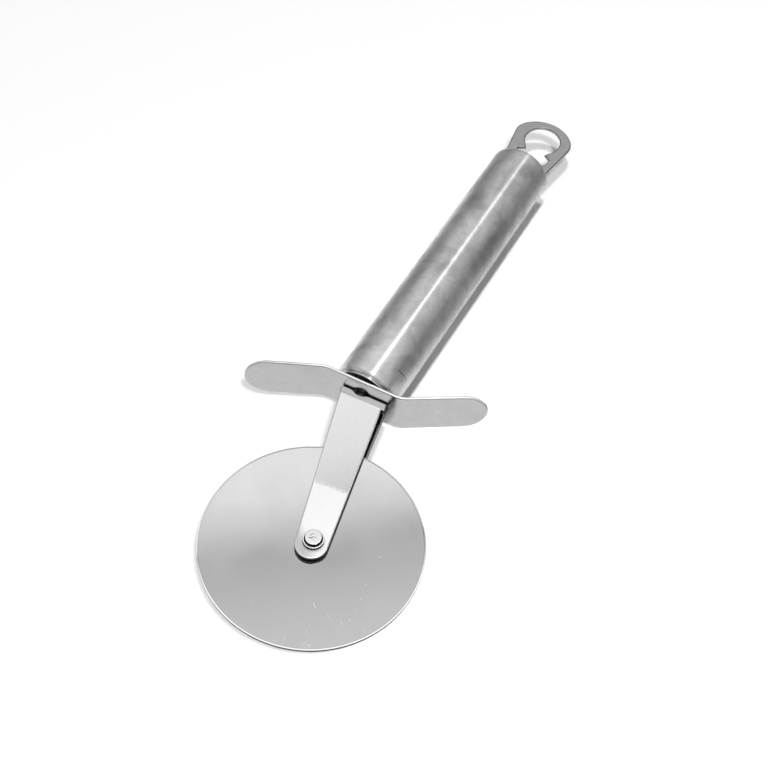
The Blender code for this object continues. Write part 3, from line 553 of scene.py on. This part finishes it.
def guardPath():
    # The front face from above: a straight left wing, a bend, the middle, the other bend and the right wing.
    radius, front = guard["bendRadius"], guard["front"]
    left, middle, right = (math.radians(guard[k]) for k in ("leftAngle", "middleAngle", "rightAngle"))
    alongLeft, alongMiddle, alongRight = (np.array([math.cos(a), math.sin(a)]) for a in (left, middle, right))
    leftCorner, rightCorner = (np.array([x, front + x * math.tan(middle)])
                               for x in (-guard["leftBend"], guard["rightBend"]))
    start = leftCorner - alongLeft * (guard["left"] - guard["leftBend"]) / alongLeft[0]
    end = rightCorner + alongRight * (guard["right"] - guard["rightBend"]) / alongRight[0]
    bendA = leftCorner - alongLeft * radius * math.tan((left - middle) / 2)
    bendB = rightCorner - alongMiddle * radius * math.tan((right - middle) / 2)
    centreA = bendA + radius * np.array([alongLeft[1], -alongLeft[0]])
    centreB = bendB + radius * np.array([-alongMiddle[1], alongMiddle[0]])
    return np.concatenate([[start], arcPoints(centreA, radius, 90 + guard["leftAngle"], 90 + guard["middleAngle"], 25),
                           arcPoints(centreB, radius, guard["middleAngle"] - 90, guard["rightAngle"] - 90, 25), [end]])


def makeGuard():
    # A flat strip with half-round ends and a round hole, carried along the bent path with its faces square to it.
    # The path's heading is averaged over a few points, so that the bends start softly.
    path = guardPath()
    coarseRun = lengthAlong(path)
    run = np.linspace(0, coarseRun[-1], guard["pathPoints"])
    line = pointsAt(run, coarseRun, path)
    heading = np.gradient(line, run, axis=0)
    width = guard["softening"]
    heading = np.stack([np.convolve(np.pad(heading[:, i], width // 2, "edge"), np.ones(width) / width, "valid")
                        for i in (0, 1)], -1)
    heading /= np.linalg.norm(heading, axis=1)[:, None]
    middleRun = np.interp(0, line[:, 0], run)
    half = guard["height"] / 2
    low = half + guard["leftTrim"] - middleRun
    high = run[-1] - middleRun - half - guard["rightTrim"]
    side, end = guard["sidePoints"], guard["endPoints"]
    outer = np.concatenate([arcPoints((high, 0), half, 0, 90, end)[:-1],
                            np.column_stack([np.linspace(high, low, side), np.full(side, half)])[:-1],
                            arcPoints((low, 0), half, 90, 270, 2 * end - 1)[:-1],
                            np.column_stack([np.linspace(low, high, side), np.full(side, -half)])[:-1],
                            arcPoints((high, 0), half, -90, 0, end)[:-1]])
    inner = arcPoints((0, 0), guard["hole"] / 2, 0, 360, len(outer) + 1)[:-1]
    flat, quads = sheetWithOpening(outer, inner, guard["sheet"], guard["rounding"], guard["rings"])
    at = flat[:, 0] + middleRun
    facing = pointsAt(at, run, heading)
    back = np.stack([-facing[:, 1], facing[:, 0]], -1)
    placed = pointsAt(at, run, line) + back * (guard["sheet"] / 2 - flat[:, 2])[:, None]
    points = np.column_stack([placed, flat[:, 1]])
    makePiece("bent_guard", points, quads, "handle", guardFinish, "finger_guard")


# Levels are where the opening's stretches are matched to the outline's, as drops below the hole, the barb, the
# slot's shoulder and a rise above the shank's end. Counts are the points of each stretch.
loop = {"sheet": 1.2, "top": 180.0, "topRadius": 11.2, "cornerRadius": 6.0, "cornerOffset": 3.95, "lean": 8.5,
        "shankEnd": 147.8, "shankWidth": 15.4, "hole": 11.8, "holeFromTop": 8.7, "shift": 0.3, "neck": 6.9,
        "barb": 1.8, "barbSlope": 61.0, "slot": 11.3, "slotCorner": 2.8, "slotFromTop": 19.6, "rounding": 0.42,
        "levels": (0.4, 0.3, 0.4, 4.0), "counts": (100, 8, 12, 16, 50), "rings": 10}


def makeLoop():
    # Outline and opening run from the top down the right side and back up the left, in matched stretches.
    inset = loop["topRadius"] - loop["cornerRadius"]
    cornerY = loop["top"] - loop["topRadius"] + math.sqrt(inset ** 2 - loop["cornerOffset"] ** 2)
    meet = math.degrees(math.acos(loop["cornerOffset"] / inset))
    topArc = arcPoints((0, loop["top"] - loop["topRadius"]), loop["topRadius"], 90, meet, 40)
    corner = arcPoints((loop["cornerOffset"], cornerY), loop["cornerRadius"], meet, -loop["lean"], 40)
    halfShank, shankEnd = loop["shankWidth"] / 2, loop["shankEnd"]
    sideX, sideY = corner[-1]
    shankY = sideY - (sideX - halfShank) / math.tan(math.radians(loop["lean"]))
    outline = np.concatenate([topArc, corner[1:], [(halfShank, shankY), (halfShank, shankEnd)]])
    run = lengthAlong(outline)

    radius, holeY, neck = loop["hole"] / 2, loop["top"] - loop["holeFromTop"], loop["neck"] / 2
    slope = math.radians(loop["barbSlope"])
    leave = -math.degrees(math.acos((neck + loop["barb"] * math.cos(slope)) / radius))
    barbY = holeY + radius * math.sin(math.radians(leave)) - loop["barb"] * math.sin(slope)
    slotHalf = loop["slot"] / 2
    underY = barbY - (slotHalf - neck) / math.tan(slope)
    slotBottom, slotCorner = loop["top"] - loop["slotFromTop"], loop["slotCorner"]
    lowCorner = arcPoints((slotHalf - slotCorner, slotBottom + slotCorner), slotCorner, 0, -90, 30)
    hole = arcPoints((0, holeY), radius, 90, leave, 80)

    # How far along the outline's right side it passes each level.
    belowHole, belowBarb, belowShoulder, aboveEnd = loop["levels"]
    heights = (hole[-1, 1] - belowHole, barbY - belowBarb, underY - belowShoulder, shankEnd + aboveEnd)
    stops = [0.0, *np.interp([-height for height in heights], -outline[:, 1], run)]

    openings = [hole, [hole[-1], (neck, barbY)], [(neck, barbY), (slotHalf, underY)],
                [(slotHalf, underY), tuple(lowCorner[0])], np.concatenate([lowCorner, [(0, slotBottom)]])]
    outsides = [pointsAt(np.linspace(start, end, count), run, outline)
                for start, end, count in zip(stops, stops[1:], loop["counts"])]
    shank = pointsAt(np.linspace(stops[-1], run[-1], 10), run, outline)
    outsides.append(resample(np.concatenate([shank, [(0, shankEnd)]]), loop["counts"][-1]))
    insides = [resample(stretch, count) for stretch, count in zip(openings, loop["counts"])]
    outer, inner = [], []
    for stretches, closed in ((outsides, outer), (insides, inner)):
        half = np.concatenate([stretches[0]] + [stretch[1:] for stretch in stretches[1:]])
        closed.extend(np.concatenate([half, half[1:-1][::-1] * np.array([-1, 1])])[::-1])
    points, quads = sheetWithOpening(np.array(outer), np.array(inner) + np.array([loop["shift"], 0]), loop["sheet"],
                                     loop["rounding"], loop["rings"])
    makePiece("stamped_loop", points, quads, "handle", loopFinish, "hanging_loop")


fork = {"sheet": 1.1, "root": 2.7, "tip": 2.35, "bend": 0.5, "webFace": 49.25, "rootLeft": 6.1, "rootRight": 7.9,
        "flare": 1.0, "tipRadius": 4.72, "beyondAxle": 0.75, "tipShift": 0.22, "crease": 17.2, "tilt": 3.1,
        "patch": 5.0, "holeAcross": 3.5, "holeAlong": 3.385, "axleHole": 1.75, "rounding": 0.4, "innerCorner": 0.1,
        "slipEnds": 6.0, "rootInset": 0.5, "rootPoints": 24, "sidePoints": 110, "tipPoints": 90, "webPoints": 81,
        "armRings": 44, "webRings": 30, "roundSteps": 3}


def forkHeight(plain):
    # The outer face's height above the wheel's plane: it falls evenly to the crease and is level beyond it.
    fall = np.clip((plain - fork["crease"]) / (fork["webFace"] - fork["bend"] - fork["crease"]), 0, 1)
    return fork["tip"] + (fork["root"] - fork["tip"]) * fall


def forkSurface(along, x, share):
    # Along the strip, 0 is the web's middle and plus leads to the upper arm. Share runs from the outer face to
    # the inner one. The outer face turns a quarter round at each fold; the inner face has a tight corner.
    bend, face, sheet, corner = fork["bend"], fork["webFace"], fork["sheet"], fork["innerCorner"]
    web = fork["root"] - bend
    quarter = bend * np.pi / 2
    run, side = np.abs(along), np.sign(along + 1e-9)
    angle = np.clip((run - web) / bend, 0, np.pi / 2)
    beyond = np.maximum(run - web - quarter, 0)
    outerY = face - bend + bend * np.cos(angle) - beyond
    outerZ = np.where(run <= web, run, np.where(beyond > 0, forkHeight(outerY), web + bend * np.sin(angle)))
    innerWeb = fork["root"] - sheet - corner
    turn = angle / (np.pi / 2)
    slip = (sheet - bend + corner) * np.clip(1 - beyond / fork["slipEnds"], 0, 1)
    innerY = np.where(beyond > 0, outerY - slip, face - sheet - corner * turn)
    innerZ = np.where(beyond > 0, outerZ - sheet, np.minimum(run / web, 1) * innerWeb + corner * turn)
    plainY = outerY + (innerY - outerY) * share
    height = outerZ + (innerZ - outerZ) * share
    return np.stack([x, plainY + x * math.tan(math.radians(fork["tilt"])), side * height], -1)


def forkPatch(outer, inner, rootColumns, corners, rings):
    # One part of the strip as a sheet with an opening. Where it joins its neighbour the wall is left out and the
    # edge isn't rounded, and the flat rings are spaced evenly again.
    steps, half = fork["roundSteps"], fork["sheet"] / 2
    flat, quads = sheetWithOpening(outer, inner, fork["sheet"], fork["rounding"], rings, steps)
    count = len(outer)
    layers = flat.reshape(-1, count, 3)
    inset = fork["rounding"] * (1 - np.cos(np.radians(np.linspace(0, 90, steps + 1))))
    for step in range(steps + 1):
        for layer, height in ((layers[step], half), (layers[-1 - step], -half)):
            layer[rootColumns, :2] = outer[rootColumns]
            layer[rootColumns, 2] = height
            for column, towards in corners:
                layer[column, :2] = outer[column] + np.array([towards * inset[step], 0])
    start, end = layers[steps], layers[len(layers) // 2 - 1 - steps]
    share = np.linspace(0, 1, rings + 1)[1:-1, None, None]
    between = start + (end - start) * share
    layers[steps + 1:steps + rings] = between
    layers[-steps - rings:-steps - 1] = between[::-1] * np.array([1, 1, -1])
    row, column = np.divmod(quads[:, 0], count)
    touching = np.zeros(count, bool)
    touching[[*rootColumns, *(c for c, _ in corners)]] = True
    joined = touching & np.roll(touching, -1)
    atWall = (row < steps) | (row >= len(layers) - 1 - steps)
    return layers.reshape(-1, 3), quads[~(joined[column] & atWall)]


def makeFork():
    # Two arms and the web between them, each a ring of quads about its own hole. Each straight side of an arm
    # leaves the tip's arc at a tangent, and the arms meet the web along lines that are level with the guard.
    tilt = math.tan(math.radians(fork["tilt"]))
    offset, webFace, limit = wheel["offset"], fork["webFace"], fork["patch"]
    beyond, tipRadius = fork["beyondAxle"], fork["tipRadius"]
    inset, rootPoints, sidePoints = fork["rootInset"], fork["rootPoints"], fork["sidePoints"]
    lean = math.atan2(offset, webFace)
    tipCentre = np.array([offset + fork["tipShift"] + beyond * math.sin(lean), -beyond * math.cos(lean)])
    foldRun = fork["root"] - fork["bend"] + fork["bend"] * math.pi / 2
    toPlain = webFace - fork["bend"] + foldRun
    rootPlain = toPlain - limit
    axle = np.array([offset, 0])
    firstRoot = np.arange(1, rootPoints + 1)
    armCorners = [(0, -1), (rootPoints + 1, 1)]
    patches = []
    for side, flare in ((1, 0.0), (-1, fork["flare"])):
        roots = np.array([(-fork["rootLeft"], webFace), (fork["rootRight"] + flare, webFace)])
        away = roots - tipCentre
        spread = np.arccos(tipRadius / np.linalg.norm(away, axis=1)) * np.array([1, -1])
        bearings = np.arctan2(away[:, 1], away[:, 0]) + spread
        tangents = tipCentre + tipRadius * np.stack([np.cos(bearings), np.sin(bearings)], -1)
        slope = (tangents[:, 0] - roots[:, 0]) / (webFace - tangents[:, 1])
        rootX = (roots[:, 0] + slope * (webFace - rootPlain)) / (1 + slope * tilt)
        webX = roots[:, 0] / (1 + slope * tilt)
        left, right = np.stack([rootX, rootPlain + rootX * tilt], -1)
        lineX = np.linspace(right[0] - inset, left[0] + inset, rootPoints)
        rootLine = np.stack([lineX, rootPlain + lineX * tilt], -1)
        first, last = np.degrees(bearings)
        outer = np.concatenate([[right], rootLine, [left], resample([left, tangents[0]], sidePoints)[1:-1],
                                arcPoints(tipCentre, tipRadius, first, last + 360, fork["tipPoints"]),
                                resample([tangents[1], right], sidePoints)[1:-1]])
        seen = np.arctan2(outer[:, 1] - axle[1], outer[:, 0] - axle[0])
        inner = axle + fork["axleHole"] * np.stack([np.cos(seen), np.sin(seen)], -1)
        flat, quads = forkPatch(outer, inner, firstRoot, armCorners, fork["armRings"])
        plain = flat[:, 1] - flat[:, 0] * tilt
        placed = forkSurface(side * (toPlain - plain), flat[:, 0], 0.5 - flat[:, 2] / fork["sheet"])
        patches.append((placed, quads))
    # Known fault: both ends of the web take the lower arm's width here, so the seam with the narrower upper arm
    # stands open, by up to 1 mm on the right. The corners of both seams don't quite meet either.
    sideRun = np.linspace(limit, -limit, fork["webPoints"])
    knots = [-limit, -foldRun, foldRun, limit]
    webLeft, webRight = (np.interp(sideRun, knots, [root, web, web, root]) for root, web in zip(rootX, webX))
    acrossX = np.linspace(rootX[1] - inset, rootX[0] + inset, rootPoints)
    level = np.full(rootPoints, limit)
    outer = np.concatenate([[(rootX[1], limit)], np.column_stack([acrossX, level]), [(rootX[0], limit)],
                            np.column_stack([webLeft, sideRun])[1:-1],
                            [(rootX[0], -limit)], np.column_stack([acrossX[::-1], -level]), [(rootX[1], -limit)],
                            np.column_stack([webRight, sideRun])[1:-1][::-1]])
    turnBack = rootPoints + fork["webPoints"]
    webCorners = armCorners + [(turnBack, 1), (turnBack + rootPoints + 1, -1)]
    seen = np.arctan2(outer[:, 1] / fork["holeAlong"], outer[:, 0] / fork["holeAcross"])
    inner = np.stack([fork["holeAcross"] * np.cos(seen), fork["holeAlong"] * np.sin(seen)], -1)
    flat, quads = forkPatch(outer, inner, np.concatenate([firstRoot, firstRoot + turnBack]), webCorners,
                            fork["webRings"])
    patches.append((forkSurface(flat[:, 1], flat[:, 0], 0.5 - flat[:, 2] / fork["sheet"]), quads))
    offsets = np.cumsum([0] + [len(points) for points, _ in patches])
    points = np.concatenate([points for points, _ in patches])
    faces = np.concatenate([quads + start for (_, quads), start in zip(patches, offsets)])
    makePiece("folded_fork", points, faces, "handle", armFinish, "wheel_fork")


# The dish is the hollow in the head: (distance from the middle, share of the depth), out to the level rim.
rivet = {"shank": 1.7, "head": 2.35, "rise": 0.95, "lowRise": 0.9, "rounding": 0.1, "seat": 2.5, "washerTop": 3.5,
         "depth": 0.06, "dish": [(0.0, 1.0), (0.35, 0.8), (0.7, 0.3), (1.05, 0.0)], "rimInner": (1.5, 0.02),
         "overlap": 0.1, "drift": (0.45, 0.25), "driftBelow": 0.02, "segments": 72}
ring = {"inner": 1.75, "outer": 3.02, "bottom": 2.5, "thickness": 0.95, "rounding": 0.1, "dishOuter": 2.68,
        "dishDeep": 0.5, "dishSlope": 0.84}


def makeTurnedFitting(name, section, material, node):
    # A section turned about the axle. What lies above the arm has slipped a little to one side in the peening.
    points, quads = turned(section, rivet["segments"], "Z", (wheel["offset"], 0, 0))
    points[points[:, 2] > ring["bottom"] - rivet["driftBelow"], :2] += rivet["drift"]
    makePiece(name, points, quads, "handle", material, node)


def makeRivet():
    # A turned rivet: a low head above the ring, the shank, and the same head under the lower arm.
    head, shank, edge, seat, washerTop = (rivet[k] for k in ("head", "shank", "rounding", "seat", "washerTop"))
    top, bottom = washerTop + rivet["rise"], -seat - rivet["lowRise"]
    rimAt, rimDrop = rivet["rimInner"]
    dish = [(at, top - rivet["depth"] * share) for at, share in rivet["dish"]]
    section = np.concatenate([dish, [(rimAt, top - rimDrop)], arcPoints((head - edge, top - edge), edge, 90, 0, 6),
                              [(head, washerTop), (shank, washerTop), (shank, ring["bottom"] - rivet["overlap"]),
                               (shank, -seat), (head, -seat)],
                              arcPoints((head - edge, bottom + edge), edge, 0, -90, 6), [(0.0, bottom)]])
    makeTurnedFitting("peened_rivet", section, rivetFinish, "axle_rivet")


def makeRivetRing():
    # The ring under the rivet's head, dished towards the head and with its upper rim rounded.
    inner, outer, bottom, edge, deep = (ring[k] for k in ("inner", "outer", "bottom", "rounding", "dishDeep"))
    top = bottom + ring["thickness"]
    section = np.concatenate([[(inner, top - deep), (ring["dishOuter"] - ring["dishSlope"] * deep, top - deep),
                               (ring["dishOuter"], top)], arcPoints((outer - edge, top - edge), edge, 90, 0, 6),
                              [(outer, bottom), (inner, bottom)]])
    makeTurnedFitting("rivet_ring", section, ringFinish, "rivet_washer")


makeTube()
makeWheel()
makeGuard()
makeLoop()
makeFork()
makeRivet()
makeRivetRing()
print("pieces made")

# Flags are (x, [(height, level), ...]), and the blocker's span is its left, right, near and far side.
studio = {"roll": 4.78, "floorColour": "#fbfbfb", "floorRings": (0, 60, 120, 200, 320, 480, 700),
          "floorSegments": 96, "middleY": 60.0, "lampHeight": 1500.0,
          "overheadPower": 8.7, "overheadFrom": (-0.01, 0.02, 1.0), "frontPower": 10.2, "frontFrom": (0.31, -0.33, 1.0),
          "blockerSpan": (10.1, 12.4, 48.5, 151.0), "blockerHeight": -1.5, "lampSize": (180.0, 180.0),
          "shineRadiance": 66.0, "shineFrom": (0.12, 0.0, 1.0), "shineSize": (120.0, 250.0), "flagSpan": (61.0, 300.0),
          "flags": [(19.0, [(-8.3, 0.66), (-4.1, 0.56), (-0.6, 0.42), (2.6, 0.34), (8.9, 0.33), (12.5, 0.40)]),
                    (-30.0, [(-12.2, 0.95), (-9.0, 0.90), (-2.8, 0.71), (0.5, 0.54), (2.9, 0.43), (8.6, 0.38),
                             (12.0, 0.40)])]}


def cardMaterial(name):
    # A material without the usual shader, and its tree.
    material = bpy.data.materials.new(name)
    material.use_nodes = True
    tree = material.node_tree
    tree.nodes.remove(tree.nodes["Principled BSDF"])
    return material, tree


def placeOnStage(name, mesh, unseenBy=()):
    # Adds a thing that isn't part of the object and that some kinds of ray pass by.
    thing = bpy.data.objects.new(name, mesh)
    for ray in unseenBy:
        setattr(thing, "visible_" + ray, False)
    bpy.context.scene.collection.objects.link(thing)


def makeFloor():
    # A pale sheet that touches the tube's underside and the lower edge of the right wing. It slants to the
    # frame, because the tool lies rolled over onto that wing. From below it is clear.
    roll = math.radians(studio["roll"])
    radii, segments = np.array(studio["floorRings"]), studio["floorSegments"]
    angle = np.arange(segments) * 2 * np.pi / segments
    x = radii[:, None] * np.cos(angle)
    y = studio["middleY"] + radii[:, None] * np.sin(angle)
    z = -tube["radius"] / math.cos(roll) + x * math.tan(roll)
    points = np.stack([x, y, z], -1).reshape(-1, 3)
    mesh = makeMesh("pale_floor", points, gridFaces(len(radii), segments, closedColumns=True))
    if sum(face.normal.z for face in mesh.polygons) < 0:
        mesh.flip_normals()
    material, tree = cardMaterial("matt_white_card")
    paper = addNode(tree, "BsdfDiffuse", {"Color": (*linearColour(studio["floorColour"]), 1)})
    clear = addNode(tree, "BsdfTransparent")
    behind = addNode(tree, "NewGeometry").node.outputs["Backfacing"]
    both = addNode(tree, "MixShader", {0: behind, 1: paper, 2: clear})
    tree.links.new(both, tree.nodes["Material Output"].inputs["Surface"])
    mesh.materials.append(material)
    placeOnStage("pale_floor", mesh)


def makeCard(name, corners, unseenBy, material=None):
    # A flat card on the stage, by its four corners.
    mesh = bpy.data.meshes.new(name)
    mesh.from_pydata(inFrame(corners).tolist(), [], [(0, 1, 2, 3)])
    if material:
        mesh.materials.append(material)
    placeOnStage(name, mesh, unseenBy)


def makeFlags():
    # Upright grey cards beside the handle that only reflections see. They stand for the dim room beyond the sheet
    # and give the round tube its darker bands.
    near, far = studio["flagSpan"]
    for index, (x, levels) in enumerate(studio["flags"]):
        low, high = levels[0][0], levels[-1][0]
        material, tree = cardMaterial("grey_card_paper")
        where = addNode(tree, "TexCoord").node.outputs["Object"]
        height = addNode(tree, "SeparateXYZ", {0: where}).node.outputs["Z"]
        share = addNode(tree, "MapRange", {"Value": height, 1: low * mm + toolCentre[2], 2: high * mm + toolCentre[2]})
        grey = setStops(addNode(tree, "ValToRGB", {"Fac": share}),
                        [((z - low) / (high - low), level) for z, level in levels])
        glow = addNode(tree, "Emission", {"Strength": grey})
        tree.links.new(glow, tree.nodes["Material Output"].inputs["Surface"])
        corners = [(x, near, low), (x, far, low), (x, far, high), (x, near, high)]
        makeCard("grey_card_%d" % index, corners, ("camera", "diffuse", "shadow"), material)


def makeBlocker():
    # A thin card low beside the handle that only the front lamp meets. It keeps that lamp off the floor under the
    # handle's right side.
    left, right, near, far = studio["blockerSpan"]
    z = studio["blockerHeight"]
    corners = [(left, near, z), (right, near, z), (right, far, z), (left, far, z)]
    makeCard("lamp_blocker", corners, ("camera", "diffuse", "glossy"))


def makeLamp(name, direction, power, size, casters=None, leftOut=None):
    # A round or oval area lamp that looks at the tool from a direction. If casters are given, only they block its
    # light, and the pieces left out don't receive it.
    data = bpy.data.lights.new(name, "AREA")
    data.energy = power
    data.shape = "ELLIPSE"
    data.size, data.size_y = size[0] * mm, size[1] * mm
    lamp = bpy.data.objects.new(name, data)
    direction = Vector(direction).normalized()
    target = Vector(inFrame((0, studio["middleY"], 0)))
    ahead = direction.cross(Vector((1, 0, 0))).normalized()
    side = ahead.cross(direction)
    lamp.matrix_world = Matrix.Translation(target + direction * studio["lampHeight"] * mm) @ Matrix(
        (side, ahead, direction)).transposed().to_4x4()
    bpy.context.scene.collection.objects.link(lamp)
    if casters:
        blockers = bpy.data.collections.new(name + "_casters")
        for caster in casters:
            blockers.objects.link(bpy.data.objects[caster])
        lamp.light_linking.blocker_collection = blockers
    if leftOut:
        lit = bpy.data.collections.new(name + "_lit")
        for piece in bpy.context.scene.objects:
            if piece.type == "MESH" and piece.name not in leftOut:
                lit.objects.link(piece)
        lamp.light_linking.receiver_collection = lit
    return lamp


# Each curve is (direction, level) stops: over the height, towards the tail and across the beam.
dome = {"height": [(-0.30, 1.0), (-0.08, 0.7), (0.0, 0.36), (0.18, 0.37), (0.33, 0.45), (0.48, 0.58), (0.6, 0.73),
                   (0.72, 0.89), (0.82, 1.10), (1.0, 1.15)],
        "tail": [(0.50, 1.0), (0.58, 0.88), (0.68, 0.74)],
        "beam": [(0.28, 0.97), (0.40, 0.765), (0.43, 0.69), (0.447, 0.61), (0.458, 0.455), (0.467, 0.42),
                 (0.476, 0.585), (0.485, 1.0), (0.495, 1.05), (0.52, 1.06), (0.55, 1.12)],
        "beamAcross": (-0.63, 0.78, 0), "onFloor": 0.39}


def makeWorld():
    # A studio dome: white below the horizon, grey at it and bright overhead, dimmer towards the tail, with one
    # dimmer beam across it overhead. Its level is the product of three curves over the direction. It gives the
    # floor only a part of its light, so that the lamps' shadows are deep.
    world = bpy.data.worlds.new("studio_dome")
    bpy.context.scene.world = world
    world.use_nodes = True
    tree = world.node_tree
    background = tree.nodes["Background"]
    background.inputs["Color"].default_value = (1, 1, 1, 1)
    direction = addNode(tree, "TexCoord")
    parts = addNode(tree, "SeparateXYZ", {0: direction}).node
    slant = addNode(tree, "VectorMath", {0: direction, 1: dome["beamAcross"]}, operation="DOT_PRODUCT")
    beam = slant.node.outputs["Value"]
    level = None
    for value, low, high, stops in ((parts.outputs["Z"], -1, 1, dome["height"]),
                                    (parts.outputs["Y"], 0, 1, dome["tail"]), (beam, 0, 1, dome["beam"])):
        share = addNode(tree, "MapRange", {"Value": value, 1: low, 2: high})
        curve = setStops(addNode(tree, "ValToRGB", {"Fac": share}),
                         [((at - low) / (high - low), grey) for at, grey in stops])
        level = curve if level is None else addNode(tree, "Math", {0: level, 1: curve}, operation="MULTIPLY")
    onFloor = addNode(tree, "LightPath").node.outputs["Is Diffuse Ray"]
    part = addNode(tree, "MapRange", {"Value": onFloor, 3: 1.0, 4: dome["onFloor"]})
    level = addNode(tree, "Math", {0: level, 1: part}, operation="MULTIPLY")
    tree.links.new(level, background.inputs["Strength"])


camera = {"place": (111.650, -163.241, 357.780), "right": (0.86773, 0.49515, 0.04318),
          "up": (-0.43025, 0.70481, 0.56403), "back": (0.24885, -0.50800, 0.82463), "lens": 68.254,
          "sensor": 36.0}


def makeCamera():
    # The camera that was fitted to the photograph. Its axes are the columns of its turn.
    data = bpy.data.cameras.new("product_camera")
    data.lens = camera["lens"]
    data.sensor_width = camera["sensor"]
    data.sensor_fit = "HORIZONTAL"
    eye = bpy.data.objects.new("product_camera", data)
    turn = Matrix((camera["right"], camera["up"], camera["back"])).transposed().to_4x4()
    eye.matrix_world = Matrix.Translation(Vector(inFrame(camera["place"]))) @ turn
    bpy.context.scene.collection.objects.link(eye)
    bpy.context.scene.camera = eye


makeFloor()
makeFlags()
makeBlocker()
# The wheel and the guard don't block the overhead lamp, because their shadow is only a soft one.
overheadCasters = ["ground_tube", "stamped_loop", "folded_fork"]
frontCasters = overheadCasters + ["bent_guard", "blade_disc", "lamp_blocker"]
shinePower = studio["shineRadiance"] * math.pi * studio["shineSize"][0] * studio["shineSize"][1] * mm ** 2
for name, direction, power, casters in (
        ("overhead_lamp", studio["overheadFrom"], studio["overheadPower"], overheadCasters),
        ("front_lamp", studio["frontFrom"], studio["frontPower"], frontCasters)):
    makeLamp(name, direction, power, studio["lampSize"], casters).visible_glossy = False
shine = makeLamp("shine_lamp", studio["shineFrom"], shinePower, studio["shineSize"], leftOut=["blade_disc"])
shine.visible_diffuse = False
makeWorld()
makeCamera()
bpy.context.scene.view_settings.view_transform = "Standard"
print("studio ready")
